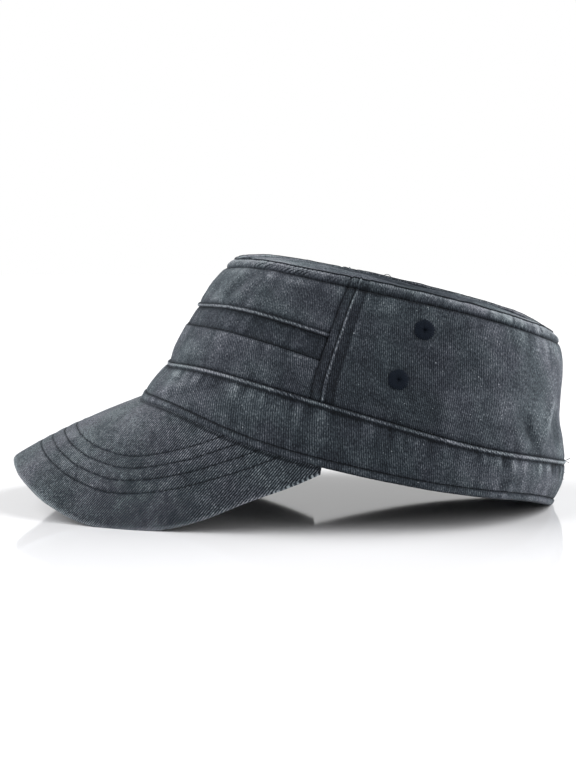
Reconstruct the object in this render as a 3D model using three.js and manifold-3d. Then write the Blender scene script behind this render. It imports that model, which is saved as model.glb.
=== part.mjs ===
// Patrol cap at rest: a flat-topped cloth cap with a curved visor, standing on the two lower
// edges of the visor and on the back of its rim. Millimetres, +Z up, the cap faces -Y.
// Every piece is shaped in the cap's own frame (rim plane level, rim centre at the origin),
// then all of them are pitched together until the visor and the rim touch the floor.
import * as THREE from 'three';
import { mergeVertices } from 'three/addons/utils/BufferGeometryUtils.js';
import Module from 'manifold-3d';

// Driving sizes
const RIM_LENGTH = 206.8;
const RIM_WIDTH = 166;
const CROWN_HEIGHT = 80;
const PLAN_POWER = 2.2;
const CLOTH = 1.6;
const GAP = 0.3;
const FLOOR_FLAT = 0.8;

const SIDE_SEAM_ANGLE = 75.2;
const SIDE_SEAM_WIDTH = 5;

const VISOR_LENGTH = 53.2;
const VISOR_DROP = 53.5;
const VISOR_THICKNESS = 2.8;
const VISOR_CORNER_ANGLE = 83.2;
const VISOR_ROOT_INSET = 1.5;
const VISOR_BULGE = 2.2;

const EYELET_RADIUS = 4.4;
const EYELET_HOLE = 1.8;
const EYELET_PROUD = 0.7;

const RING_STEPS = 78;
const VISOR_STEPS = 42;
const EYELET_STEPS = 16;

// Level rings of the cloth from the rim up to the middle of the top.
// up: nominal distance along the cloth in millimetres, measured at the side.
// front, back: reach from the rim's centre, as shares of half the rim's length.
// side: half width, as a share of half the rim's width.
// h0 to h180: height over the rim plane at that many degrees from the front,
// as shares of the crown's height.
const RINGS = [
  { name: 'rim', up: 0, front: 0.995, back: 0.975, side: 1.0,
    h0: 0.008, h30: 0.057, h60: 0.031, h90: 0.028, h120: 0.055, h150: 0.057, h180: 0.003 },
  { name: 'hem', up: 4, front: 0.985, back: 0.982, side: 1.0,
    h0: 0.068, h30: 0.104, h60: 0.08, h90: 0.077, h120: 0.104, h150: 0.105, h180: 0.052 },
  { name: 'band', up: 14, front: 0.956, back: 0.99, side: 0.996,
    h0: 0.158, h30: 0.194, h60: 0.208, h90: 0.2, h120: 0.212, h150: 0.21, h180: 0.163 },
  { name: 'seam', up: 25, front: 0.917, back: 0.984, side: 0.976,
    h0: 0.263, h30: 0.319, h60: 0.353, h90: 0.34, h120: 0.32, h150: 0.314, h180: 0.281 },
  { name: 'low', up: 35, front: 0.908, back: 0.951, side: 0.957,
    h0: 0.38, h30: 0.433, h60: 0.464, h90: 0.452, h120: 0.438, h150: 0.43, h180: 0.412 },
  { name: 'stripFoot', up: 44, front: 0.877, back: 0.912, side: 0.927,
    h0: 0.52, h30: 0.56, h60: 0.583, h90: 0.556, h120: 0.548, h150: 0.543, h180: 0.525 },
  { name: 'stripHead', up: 55, front: 0.847, back: 0.886, side: 0.885,
    h0: 0.645, h30: 0.696, h60: 0.725, h90: 0.701, h120: 0.69, h150: 0.68, h180: 0.66 },
  { name: 'high', up: 69, front: 0.812, back: 0.86, side: 0.838,
    h0: 0.794, h30: 0.838, h60: 0.872, h90: 0.882, h120: 0.88, h150: 0.86, h180: 0.843 },
  { name: 'edge', up: 79, front: 0.766, back: 0.816, side: 0.795,
    h0: 0.898, h30: 0.946, h60: 0.983, h90: 1.003, h120: 1.007, h150: 0.976, h180: 0.957 },
  { name: 'welt', up: 84.5, front: 0.724, back: 0.764, side: 0.753,
    h0: 0.951, h30: 0.989, h60: 1.027, h90: 1.055, h120: 1.054, h150: 1.029, h180: 0.999 },
  { name: 'bevel', up: 92, front: 0.658, back: 0.7, side: 0.675,
    h0: 1.0, h30: 1.02, h60: 1.047, h90: 1.06, h120: 1.062, h150: 1.056, h180: 1.048 },
  { name: 'dome', up: 116, front: 0.405, back: 0.445, side: 0.4,
    h0: 1.054, h30: 1.055, h60: 1.06, h90: 1.064, h120: 1.072, h150: 1.086, h180: 1.09 },
  { name: 'crest', up: 150, front: -0.03, back: 0.03, side: 0,
    h0: 1.068, h30: 1.068, h60: 1.068, h90: 1.068, h120: 1.068, h150: 1.068, h180: 1.068 },
];

// Soft folds and dents of the cloth: angle in degrees from the front (+ is the wearer's left),
// up is the nominal distance along the cloth, lean tips the fold toward the back,
// long and wide are its half sizes and out is how far it stands out (- is a dent).
const FOLDS = [
  { angle: 22, up: 68, lean: 8, long: 11, wide: 5, out: 0.7 },
  { angle: 34, up: 64, lean: 5, long: 12, wide: 6, out: -0.7 },
  { angle: 14, up: 11, lean: 80, long: 22, wide: 5, out: 0.9 },
  { angle: 52, up: 13, lean: 78, long: 26, wide: 5, out: 0.6 },
  { angle: 107, up: 37, lean: -4, long: 9, wide: 4, out: 0.8 },
  { angle: 113, up: 38, lean: -6, long: 11, wide: 4, out: -0.8 },
  { angle: 143, up: 39, lean: 20, long: 11, wide: 8, out: -1.8 },
  { angle: 158, up: 43, lean: 24, long: 16, wide: 6, out: 1.5 },
  { angle: 166, up: 14, lean: 2, long: 14, wide: 4, out: -1.2 },
  { angle: 173, up: 14, lean: -2, long: 14, wide: 4, out: 0.9 },
  { angle: 110, up: 101, lean: 60, long: 20, wide: 9, out: 1.0 },
  { angle: 70, up: 104, lean: 70, long: 26, wide: 12, out: -0.8 },
  { angle: -26, up: 66, lean: 6, long: 12, wide: 6, out: 0.7 },
  { angle: -40, up: 62, lean: 3, long: 12, wide: 6, out: -0.6 },
  { angle: -20, up: 12, lean: 80, long: 26, wide: 5, out: 0.8 },
  { angle: -104, up: 40, lean: 4, long: 12, wide: 5, out: -0.8 },
  { angle: -138, up: 40, lean: 18, long: 12, wide: 8, out: -1.4 },
  { angle: -152, up: 45, lean: 22, long: 15, wide: 7, out: 1.2 },
  { angle: -168, up: 13, lean: 0, long: 13, wide: 4, out: -0.9 },
  { angle: -98, up: 103, lean: 70, long: 24, wide: 10, out: 0.8 },
];

// Outer edge of the visor on one side, from the tip round to the corner at the rim.
// along: share of the half edge. side: share of half the rim's width.
// ahead: share of the visor's length in front of the rim's front (below 0 is behind it).
// drop: share of the visor's drop below the rim plane.
const VISOR_EDGE = [
  { along: -0.15, side: -0.355, ahead: 0.865, drop: 0.833 },
  { along: 0.0, side: 0.0, ahead: 0.99, drop: 0.815 },
  { along: 0.15, side: 0.355, ahead: 0.865, drop: 0.833 },
  { along: 0.227, side: 0.492, ahead: 0.71, drop: 0.889 },
  { along: 0.301, side: 0.61, ahead: 0.515, drop: 0.944 },
  { along: 0.42, side: 0.756, ahead: 0.145, drop: 0.981 },
  { along: 0.522, side: 0.845, ahead: -0.2, drop: 0.921 },
  { along: 0.613, side: 0.9, ahead: -0.508, drop: 0.823 },
  { along: 0.71, side: 0.938, ahead: -0.816, drop: 0.648 },
  { along: 0.816, side: 0.962, ahead: -1.13, drop: 0.411 },
  { along: 0.917, side: 0.972, ahead: -1.438, drop: 0.2 },
  { along: 1.0, side: 0.976, ahead: -1.66, drop: 0.03 },
];

// Sewn eyelets on each side: angle from the front, up along the cloth.
const EYELETS = [
  { name: 'upper', angle: 96, up: 68.2 },
  { name: 'lower', angle: 92.7, up: 46.2 },
];

// Cross-sections of the sewn pieces as closed loops, the outside from the lower edge to the
// upper one and then the inside back down. ring and by: the ring and the distance from it
// along the cloth. out: millimetres outward from the cloth's face.
const SECTIONS = {
  rim_welt: [
    { ring: 'rim', by: 0, out: -0.5 },
    { ring: 'rim', by: 0.5, out: 0.5 },
    { ring: 'rim', by: 1.7, out: 1.1 },
    { ring: 'hem', by: -0.8, out: 0.9 },
    { ring: 'hem', by: -GAP / 2, out: 0 },
    { ring: 'hem', by: -GAP / 2, out: -CLOTH },
    { ring: 'rim', by: 0.4, out: -CLOTH - 0.4 },
    { ring: 'rim', by: 0, out: -CLOTH },
  ],
  band: [
    { ring: 'hem', by: GAP / 2, out: -0.2 },
    { ring: 'hem', by: 1.4, out: 0.4 },
    { ring: 'band', by: -3, out: 0.7 },
    { ring: 'band', by: 3, out: 0.5 },
    { ring: 'seam', by: -3.4, out: -0.2 },
    { ring: 'seam', by: -2.4, out: 0.7 },
    { ring: 'seam', by: -1.2, out: 1.1 },
    { ring: 'seam', by: -GAP / 2, out: 0.3 },
    { ring: 'seam', by: -GAP / 2, out: -CLOTH },
    { ring: 'band', by: 0, out: -CLOTH + 0.4 },
    { ring: 'hem', by: GAP / 2, out: -CLOTH },
  ],
  front_panel_lower: [
    { ring: 'seam', by: GAP / 2, out: -0.4 },
    { ring: 'seam', by: 1.6, out: 0 },
    { ring: 'low', by: 0, out: 0 },
    { ring: 'stripFoot', by: -1.6, out: 0.1 },
    { ring: 'stripFoot', by: -GAP / 2, out: -0.3 },
    { ring: 'stripFoot', by: -GAP / 2, out: -CLOTH },
    { ring: 'low', by: 0, out: -CLOTH },
    { ring: 'seam', by: GAP / 2, out: -CLOTH },
  ],
  front_strip: [
    { ring: 'stripFoot', by: GAP / 2, out: -0.6 },
    { ring: 'stripFoot', by: 1.6, out: -0.3 },
    { ring: 'stripHead', by: -2, out: -0.4 },
    { ring: 'stripHead', by: -GAP / 2, out: -0.7 },
    { ring: 'stripHead', by: -GAP / 2, out: -CLOTH - 0.1 },
    { ring: 'stripFoot', by: GAP / 2, out: -CLOTH - 0.1 },
  ],
  front_panel_upper: [
    { ring: 'stripHead', by: GAP / 2, out: 0.2 },
    { ring: 'stripHead', by: 0.8, out: 0.9 },
    { ring: 'stripHead', by: 2, out: 0.8 },
    { ring: 'stripHead', by: 3.2, out: 0 },
    { ring: 'high', by: -4, out: 0 },
    { ring: 'high', by: 4, out: 0 },
    { ring: 'edge', by: -GAP / 2, out: -0.3 },
    { ring: 'edge', by: -GAP / 2, out: -CLOTH },
    { ring: 'high', by: 0, out: -CLOTH },
    { ring: 'stripHead', by: GAP / 2, out: -CLOTH },
  ],
  side_seam: [
    { ring: 'seam', by: GAP / 2, out: 0.1 },
    { ring: 'low', by: 0, out: 0.6 },
    { ring: 'stripFoot', by: 0, out: 0.7 },
    { ring: 'stripHead', by: 0, out: 0.7 },
    { ring: 'high', by: 0, out: 0.6 },
    { ring: 'edge', by: -GAP / 2, out: 0 },
    { ring: 'edge', by: -GAP / 2, out: -CLOTH },
    { ring: 'high', by: 0, out: -CLOTH },
    { ring: 'stripHead', by: 0, out: -CLOTH },
    { ring: 'stripFoot', by: 0, out: -CLOTH },
    { ring: 'low', by: 0, out: -CLOTH },
    { ring: 'seam', by: GAP / 2, out: -CLOTH },
  ],
  back_panel: [
    { ring: 'seam', by: GAP / 2, out: -0.4 },
    { ring: 'seam', by: 2, out: 0 },
    { ring: 'low', by: 0, out: 0 },
    { ring: 'stripFoot', by: 0, out: 0 },
    { ring: 'stripHead', by: 0, out: 0 },
    { ring: 'high', by: 0, out: 0 },
    { ring: 'edge', by: -2, out: 0 },
    { ring: 'edge', by: -GAP / 2, out: -0.3 },
    { ring: 'edge', by: -GAP / 2, out: -CLOTH },
    { ring: 'high', by: 0, out: -CLOTH },
    { ring: 'stripHead', by: 0, out: -CLOTH },
    { ring: 'stripFoot', by: 0, out: -CLOTH },
    { ring: 'low', by: 0, out: -CLOTH },
    { ring: 'seam', by: GAP / 2, out: -CLOTH },
  ],
  top_welt: [
    { ring: 'edge', by: GAP / 2, out: 0 },
    { ring: 'edge', by: 0.8, out: 0.9 },
    { ring: 'edge', by: 2.6, out: 1.3 },
    { ring: 'welt', by: -0.9, out: 0.8 },
    { ring: 'welt', by: -GAP / 2, out: 0 },
    { ring: 'welt', by: -GAP / 2, out: -CLOTH },
    { ring: 'edge', by: 1.5, out: -CLOTH },
    { ring: 'edge', by: GAP / 2, out: -CLOTH },
  ],
};

// Rings of the top panel from its sewn edge to the middle.
const TOP_ROWS = [
  { ring: 'welt', by: GAP / 2 },
  { ring: 'welt', by: 3.5 },
  { ring: 'bevel', by: 3 },
  { ring: 'bevel', by: 12 },
  { ring: 'dome', by: 0 },
  { ring: 'dome', by: 18 },
];

// Section of the visor from its root under the rim to the folded outer edge.
// across: share of the way out. by: millimetres added to it. face: share of half the thickness.
const VISOR_SECTION = [
  { across: 0, by: 0, face: 1 },
  { across: 0.22, by: 0, face: 1 },
  { across: 0.44, by: 0, face: 1 },
  { across: 0.66, by: 0, face: 1 },
  { across: 0.84, by: 0, face: 1 },
  { across: 1, by: -1.4, face: 1 },
  { across: 1, by: -0.3, face: 0.6 },
  { across: 1, by: -0.3, face: -0.6 },
  { across: 1, by: -1.4, face: -1 },
  { across: 0.84, by: 0, face: -1 },
  { across: 0.66, by: 0, face: -1 },
  { across: 0.44, by: 0, face: -1 },
  { across: 0.22, by: 0, face: -1 },
  { across: 0, by: 0, face: -1 },
];

const HALF_LENGTH = RIM_LENGTH / 2;
const HALF_WIDTH = RIM_WIDTH / 2;
const HEIGHT_COLUMNS = ['h0', 'h30', 'h60', 'h90', 'h120', 'h150', 'h180'];
const WAVES = HEIGHT_COLUMNS.length - 1;
const radians = THREE.MathUtils.degToRad;
const power = (value, exponent) => Math.sign(value) * Math.abs(value) ** exponent;

// Smooth curve through the values of one column at its knots.
function curve(rows, knot, column, at) {
  let i = 0;
  while (i < rows.length - 2 && rows[i + 1][knot] < at) i += 1;
  const slope = (k) => {
    const before = rows[Math.max(k - 1, 0)];
    const after = rows[Math.min(k + 1, rows.length - 1)];
    return (after[column] - before[column]) / (after[knot] - before[knot]);
  };
  const span = rows[i + 1][knot] - rows[i][knot];
  const t = (at - rows[i][knot]) / span;
  const rise = (1 - t) * (1 - t) * t * span * slope(i) - (1 - t) * t * t * span * slope(i + 1);
  return rows[i][column] * (1 + 2 * t) * (1 - t) ** 2 + rows[i + 1][column] * t * t * (3 - 2 * t) + rise;
}

// Height of a ring at an angle: a sum of waves through its seven given heights, the same on
// both sides of the cap.
function waveHeight(heights, angle) {
  let sum = 0;
  for (let k = 0; k <= WAVES; k += 1) {
    let share = 0;
    heights.forEach((height, j) => {
      const weight = j === 0 || j === WAVES ? 0.5 : 1;
      share += weight * height * Math.cos((k * j * Math.PI) / WAVES);
    });
    const scale = k === 0 || k === WAVES ? 1 / WAVES : 2 / WAVES;
    sum += share * scale * Math.cos(k * angle);
  }
  return sum;
}

const smoothRings = new Map();

function ringAt(up) {
  if (!smoothRings.has(up)) {
    const value = (column) => curve(RINGS, 'up', column, up);
    smoothRings.set(up, {
      front: value('front') * HALF_LENGTH,
      back: value('back') * HALF_LENGTH,
      side: value('side') * HALF_WIDTH,
      heights: HEIGHT_COLUMNS.map((column) => value(column) * CROWN_HEIGHT),
    });
  }
  return smoothRings.get(up);
}

function clothPoint(up, angle) {
  const ring = ringAt(up);
  const middle = (ring.back - ring.front) / 2;
  const reach = (ring.back + ring.front) / 2;
  return new THREE.Vector3(
    ring.side * power(Math.sin(angle), 2 / PLAN_POWER),
    middle - reach * power(Math.cos(angle), 2 / PLAN_POWER),
    waveHeight(ring.heights, angle),
  );
}

function foldDepth(up, angle) {
  let depth = 0;
  FOLDS.forEach((fold) => {
    let turn = angle - radians(fold.angle);
    turn = Math.atan2(Math.sin(turn), Math.cos(turn));
    const ring = ringAt(up);
    const around = turn * Math.max(ring.side, 20);
    const rise = up - fold.up;
    const lean = radians(fold.lean);
    const alongFold = rise * Math.cos(lean) + around * Math.sin(lean);
    const acrossFold = around * Math.cos(lean) - rise * Math.sin(lean);
    depth += fold.out * Math.exp(-((alongFold / fold.long) ** 2) - (acrossFold / fold.wide) ** 2);
  });
  return depth;
}

function clothNormal(up, angle) {
  const small = 0.4;
  const climb = clothPoint(up + small, angle).sub(clothPoint(up - small, angle));
  const turn = clothPoint(up, angle + 0.02).sub(clothPoint(up, angle - 0.02));
  return turn.cross(climb).normalize();
}

// Nominal position that lies a true distance along the cloth from a ring.
function stepAlong(name, by, angle) {
  const start = RINGS.find((ring) => ring.name === name).up;
  if (by === 0) return start;
  const side = Math.sign(by);
  const pace = clothPoint(start + side, angle).distanceTo(clothPoint(start, angle));
  return start + by / pace;
}

function shellPoint(up, angle, out) {
  return clothPoint(up, angle).addScaledVector(clothNormal(up, angle), out + foldDepth(up, angle));
}

// Closed surface from rows of points: each row is a closed loop, and the rows follow one
// another along a strip with flat ends or round a full ring.
function solidFromLoops(loops, ringClosed) {
  const size = loops[0].length;
  const corners = [];
  const quad = (a, b, c, d) => {
    corners.push(a, b, c, a, c, d);
  };
  const last = ringClosed ? loops.length : loops.length - 1;
  for (let i = 0; i < last; i += 1) {
    const here = loops[i];
    const next = loops[(i + 1) % loops.length];
    for (let j = 0; j < size; j += 1) {
      const k = (j + 1) % size;
      quad(here[j], next[j], next[k], here[k]);
    }
  }
  if (!ringClosed) {
    const ends = [loops[0], loops[loops.length - 1]];
    ends.forEach((loop, side) => {
      capTriangles(loop).forEach(([a, b, c]) => {
        corners.push(...(side === 0 ? [loop[a], loop[b], loop[c]] : [loop[c], loop[b], loop[a]]));
      });
    });
  }
  return solidFromCorners(corners);
}

// Triangles of a loop's end, laid like the rungs of a ladder between its two long sides.
function capTriangles(loop) {
  const rungs = [];
  let i = 0;
  let j = loop.length - 1;
  while (j - i > 1) {
    if (loop[i + 1].distanceTo(loop[j]) < loop[i].distanceTo(loop[j - 1])) {
      rungs.push([i, i + 1, j]);
      i += 1;
    } else {
      rungs.push([i, j - 1, j]);
      j -= 1;
    }
  }
  return rungs;
}

function solidFromCorners(corners) {
  const geometry = new THREE.BufferGeometry().setFromPoints(corners);
  const volume = signedVolume(corners);
  if (volume < 0) {
    const turned = [];
    for (let i = 0; i < corners.length; i += 3) turned.push(corners[i], corners[i + 2], corners[i + 1]);
    geometry.setFromPoints(turned);
  }
  return mergeVertices(geometry, 1e-4);
}

function signedVolume(corners) {
  let volume = 0;
  for (let i = 0; i < corners.length; i += 3) {
    volume += corners[i].dot(corners[i + 1].clone().cross(corners[i + 2])) / 6;
  }
  return volume;
}

// A sewn piece: its section carried round the cap between two angles.
function sewnPiece(section, from, to, steps, ringClosed) {
  const loops = [];
  const count = ringClosed ? steps : steps + 1;
  for (let i = 0; i < count; i += 1) {
    const angle = from + ((to - from) * i) / steps;
    loops.push(section.map(({ ring, by, out }) => shellPoint(stepAlong(ring, by, angle), angle, out)));
  }
  return solidFromLoops(loops, ringClosed);
}

const fullRing = (section) => sewnPiece(section, 0, 2 * Math.PI, RING_STEPS, true);

// Half the angle that a seam's width takes at the side of the cap.
const seamTurn = SIDE_SEAM_WIDTH / 2 / (HALF_LENGTH * 0.93);
const gapTurn = GAP / (HALF_LENGTH * 0.93);
const seamAngle = radians(SIDE_SEAM_ANGLE);

function frontPiece(section) {
  const reach = seamAngle - seamTurn - gapTurn;
  return sewnPiece(section, -reach, reach, 36, false);
}

function topPanel() {
  const layer = (out) =>
    TOP_ROWS.map(({ ring, by }) => {
      const row = [];
      for (let i = 0; i < RING_STEPS; i += 1) {
        const angle = (2 * Math.PI * i) / RING_STEPS;
        row.push(shellPoint(stepAlong(ring, by, angle), angle, out));
      }
      return row;
    });
  const outside = layer(0);
  const inside = layer(-CLOTH);
  const rows = [...outside.slice().reverse(), ...inside];
  const crestUp = RINGS[RINGS.length - 1].up;
  const crest = clothPoint(crestUp, 0);
  const ends = [crest, crest.clone().setZ(crest.z - CLOTH)];
  const corners = [];
  for (let r = 0; r < rows.length - 1; r += 1) {
    for (let i = 0; i < RING_STEPS; i += 1) {
      const k = (i + 1) % RING_STEPS;
      corners.push(rows[r][i], rows[r][k], rows[r + 1][k]);
      corners.push(rows[r][i], rows[r + 1][k], rows[r + 1][i]);
    }
  }
  const lastRow = rows[rows.length - 1];
  for (let i = 0; i < RING_STEPS; i += 1) {
    const k = (i + 1) % RING_STEPS;
    corners.push(ends[0], rows[0][k], rows[0][i]);
    corners.push(ends[1], lastRow[i], lastRow[k]);
  }
  return solidFromCorners(corners);
}

// Middle surface of the visor: turn runs from -1 to 1 across it, across from root to edge.
function visorPoint(turn, across) {
  const side = Math.sign(turn);
  const along = Math.abs(turn);
  const angle = turn * radians(VISOR_CORNER_ANGLE);
  const root = clothPoint(0, angle);
  const inward = new THREE.Vector3(-root.x, -root.y, 0).normalize();
  root.addScaledVector(inward, VISOR_ROOT_INSET);
  const value = (column) => curve(VISOR_EDGE, 'along', column, along);
  const edge = new THREE.Vector3(
    side * value('side') * HALF_WIDTH,
    -HALF_LENGTH - value('ahead') * VISOR_LENGTH,
    -value('drop') * VISOR_DROP,
  );
  edge.z = Math.min(edge.z, root.z - 1.5);
  const fall = edge.clone().sub(root).normalize();
  const flatness = Math.hypot(fall.x, fall.y);
  root.z -= GAP + (flatness * VISOR_THICKNESS) / 2;
  const point = root.clone().lerp(edge, across);
  const swell = VISOR_BULGE * 4 * across * (1 - across) * Math.min(1, root.distanceTo(edge) / VISOR_LENGTH);
  return point.addScaledVector(inward, -swell * 0.6).setZ(point.z + swell * 0.8 * (1 - along));
}

function visorNormal(turn, across) {
  const small = 0.01;
  const t = THREE.MathUtils.clamp(turn, -1 + small, 1 - small);
  const a = THREE.MathUtils.clamp(across, small, 1 - small);
  const round = visorPoint(t + small, a).sub(visorPoint(t - small, a));
  const out = visorPoint(t, a + small).sub(visorPoint(t, a - small));
  return out.cross(round).normalize();
}

function visorSolid() {
  const loops = [];
  for (let i = 0; i <= VISOR_STEPS; i += 1) {
    const turn = (2 * i) / VISOR_STEPS - 1;
    const reach = visorPoint(turn, 0).distanceTo(visorPoint(turn, 1));
    loops.push(VISOR_SECTION.map(({ across, by, face }) => {
      const at = across + Math.max(by / reach, -0.12);
      const offset = (face * VISOR_THICKNESS) / 2;
      return visorPoint(turn, at).addScaledVector(visorNormal(turn, at), offset);
    }));
  }
  return solidFromLoops(loops, false);
}

// Frame that stands on the cloth at a spot, its +Y pointing out of the cap.
function spotFrame(up, angle) {
  const out = clothNormal(up, angle);
  const along = new THREE.Vector3(0, 0, 1).cross(out).normalize();
  const across = along.clone().cross(out);
  return new THREE.Matrix4().makeBasis(along, out, across).setPosition(shellPoint(up, angle, 0));
}

const wasm = await Module();
wasm.setup();

function toManifold(geometry) {
  const bare = geometry.clone();
  bare.deleteAttribute('normal');
  bare.deleteAttribute('uv');
  const merged = mergeVertices(bare, 1e-4);
  return new wasm.Manifold(new wasm.Mesh({
    numProp: 3,
    vertProperties: merged.attributes.position.array,
    triVerts: new Uint32Array(merged.index.array),
  }));
}

function fromManifold(solid) {
  const mesh = solid.getMesh();
  return new THREE.BufferGeometry()
    .setAttribute('position', new THREE.BufferAttribute(mesh.vertProperties, 3))
    .setIndex(new THREE.BufferAttribute(mesh.triVerts, 1));
}

function withEyeletHoles(geometry) {
  let solid = toManifold(geometry);
  EYELETS.forEach(({ up, angle }) => {
    [1, -1].forEach((side) => {
      const drill = new THREE.CylinderGeometry(EYELET_RADIUS + GAP, EYELET_RADIUS + GAP, 12, EYELET_STEPS);
      solid = solid.subtract(toManifold(drill.applyMatrix4(spotFrame(up, side * radians(angle)))));
    });
  });
  return fromManifold(solid);
}

// Thick sewn ring that fills an eyelet's cut, rounded at its outer face.
function eyeletSolid(up, angle) {
  const inside = -CLOTH - 0.2;
  const profile = [
    [EYELET_HOLE, inside],
    [EYELET_RADIUS, inside],
    [EYELET_RADIUS, EYELET_PROUD * 0.3],
    [EYELET_RADIUS * 0.86, EYELET_PROUD],
    [EYELET_HOLE * 1.4, EYELET_PROUD],
    [EYELET_HOLE, EYELET_PROUD * 0.3],
    [EYELET_HOLE, inside],
  ];
  const ring = new THREE.LatheGeometry(profile.map(([r, h]) => new THREE.Vector2(r, h)), EYELET_STEPS);
  ring.deleteAttribute('normal');
  ring.deleteAttribute('uv');
  return mergeVertices(ring.applyMatrix4(spotFrame(up, angle)), 1e-4);
}

const TWILL = { color: 0x4a5058, roughness: 0.95, metalness: 0 };
const STRIP_TWILL = { color: 0x3c434b, roughness: 0.95, metalness: 0 };
const VISOR_TWILL = { color: 0x454b53, roughness: 0.92, metalness: 0 };
const THREAD = { color: 0x1c2128, roughness: 0.9, metalness: 0 };

const leftReach = seamAngle + seamTurn + gapTurn;
const pieces = [
  ['crown_top', topPanel(), TWILL],
  ['top_welt', fullRing(SECTIONS.top_welt), TWILL],
  ['front_panel_upper', frontPiece(SECTIONS.front_panel_upper), TWILL],
  ['front_strip', frontPiece(SECTIONS.front_strip), STRIP_TWILL],
  ['front_panel_lower', frontPiece(SECTIONS.front_panel_lower), TWILL],
  ['side_seam_left', sewnPiece(SECTIONS.side_seam, seamAngle - seamTurn, seamAngle + seamTurn, 4, false), TWILL],
  ['side_seam_right', sewnPiece(SECTIONS.side_seam, -seamAngle - seamTurn, -seamAngle + seamTurn, 4, false), TWILL],
  ['back_panel', withEyeletHoles(sewnPiece(SECTIONS.back_panel, leftReach, 2 * Math.PI - leftReach, 46, false)), TWILL],
  ['band', fullRing(SECTIONS.band), TWILL],
  ['rim_welt', fullRing(SECTIONS.rim_welt), TWILL],
  ['visor', visorSolid(), VISOR_TWILL],
];
EYELETS.forEach(({ name, up, angle }) => {
  pieces.push([`eyelet_left_${name}`, eyeletSolid(up, radians(angle)), THREAD]);
  pieces.push([`eyelet_right_${name}`, eyeletSolid(up, -radians(angle)), THREAD]);
});

// Pitch at which the visor's lower edges and the back of the rim touch one level floor.
const geometryOf = (name) => pieces.find(([piece]) => piece === name)[1];

function lowest(geometry, pitch) {
  const spots = geometry.attributes.position;
  let least = Infinity;
  for (let i = 0; i < spots.count; i += 1) {
    least = Math.min(least, spots.getZ(i) * Math.cos(pitch) - spots.getY(i) * Math.sin(pitch));
  }
  return least;
}

function restingPitch() {
  let low = radians(5);
  let high = radians(30);
  for (let i = 0; i < 40; i += 1) {
    const middle = (low + high) / 2;
    if (lowest(geometryOf('visor'), middle) < lowest(geometryOf('rim_welt'), middle)) low = middle;
    else high = middle;
  }
  return (low + high) / 2;
}

const pitch = restingPitch();
const floorLevel = lowest(geometryOf('visor'), pitch) + FLOOR_FLAT;
const rest = new THREE.Matrix4().makeTranslation(0, 0, -floorLevel)
  .multiply(new THREE.Matrix4().makeRotationX(-pitch));
const bounds = new THREE.Box3();
pieces.forEach(([, geometry]) => {
  geometry.applyMatrix4(rest);
  const spots = geometry.attributes.position;
  for (let i = 0; i < spots.count; i += 1) spots.setZ(i, Math.max(spots.getZ(i), 0));
  geometry.computeBoundingBox();
  bounds.union(geometry.boundingBox);
});
const centre = bounds.getCenter(new THREE.Vector3());

const group = new THREE.Group();
pieces.forEach(([name, geometry, look]) => {
  geometry.translate(-centre.x, -centre.y, 0);
  const mesh = new THREE.Mesh(geometry, new THREE.MeshStandardMaterial(look));
  mesh.name = name;
  group.add(mesh);
});

export default group;
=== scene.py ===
# %% [markdown]
# # A washed cotton patrol cap
# The cap is a shell of sewn cloth panels: a flat top, a side wall in two halves, a band with a
# corded seam, a folded rim and a stiff curved visor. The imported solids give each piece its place
# and size. Here each one is laid again in finer cloth, with its gathers, stitches and faded wash.

# %% Load the frame
import math
import bpy
import numpy as np
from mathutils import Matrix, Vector
from mathutils.bvhtree import BVHTree


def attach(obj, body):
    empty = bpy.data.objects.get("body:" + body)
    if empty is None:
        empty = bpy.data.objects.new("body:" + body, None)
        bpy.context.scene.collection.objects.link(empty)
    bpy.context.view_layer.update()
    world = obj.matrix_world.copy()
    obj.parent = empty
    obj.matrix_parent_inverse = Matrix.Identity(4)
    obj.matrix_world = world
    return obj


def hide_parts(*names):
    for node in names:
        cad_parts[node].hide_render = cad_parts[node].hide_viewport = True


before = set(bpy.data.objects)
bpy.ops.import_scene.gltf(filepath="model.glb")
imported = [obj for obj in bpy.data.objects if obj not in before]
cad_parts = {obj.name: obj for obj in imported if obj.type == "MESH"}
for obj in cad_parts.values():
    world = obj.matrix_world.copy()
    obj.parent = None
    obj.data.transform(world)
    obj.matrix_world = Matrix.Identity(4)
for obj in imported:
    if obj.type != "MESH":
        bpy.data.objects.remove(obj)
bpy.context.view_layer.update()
bpy.ops.object.select_all(action="DESELECT")
print("solids in the frame:", len(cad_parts))

# %% [markdown]
# ## Camera
# The cap is seen square from its left side, from a little above and rather close, so that the
# near rim is clearly larger than the far one. The lens follows from the distance: 68 mm on a
# 36 mm frame at 70 cm. The camera comes first, so that every later look is the same look.

# %% Place the camera
CAMERA_PLACE = (0.700, -0.00045, 0.1342)
CAMERA_DOWN = 6.31
CAMERA_LENS, CAMERA_FRAME = 67.92, 36

bpy.ops.object.camera_add(
    location=CAMERA_PLACE, rotation=(math.radians(90 - CAMERA_DOWN), 0, math.radians(90)))
camera = bpy.context.object
camera.name = "side_camera"
camera.data.lens = CAMERA_LENS
camera.data.sensor_width = CAMERA_FRAME
camera.data.clip_start = 0.01
bpy.context.scene.camera = camera
print("camera at", tuple(camera.location), "lens", camera.data.lens)

# %% [markdown]
# ## The form under the cloth
# A cap is drafted from level outlines, as on a hatter's block: the rim, the band, the seams and
# the edge of the top. Each outline is a rounded oval with its own reach to the front, back and
# side, and its own height, which rises and falls on the way round. A smooth curve through one
# column of the table gives every outline in between. All sizes are in millimetres, and `up` is
# the distance along the cloth from the rim.

# %% Sizes and outlines
MM = 0.001
HALF_LENGTH = 206.8 / 2
HALF_WIDTH = 166 / 2
CROWN_HEIGHT = 80
PLAN_POWER = 2.2
CLOTH = 1.6


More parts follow.
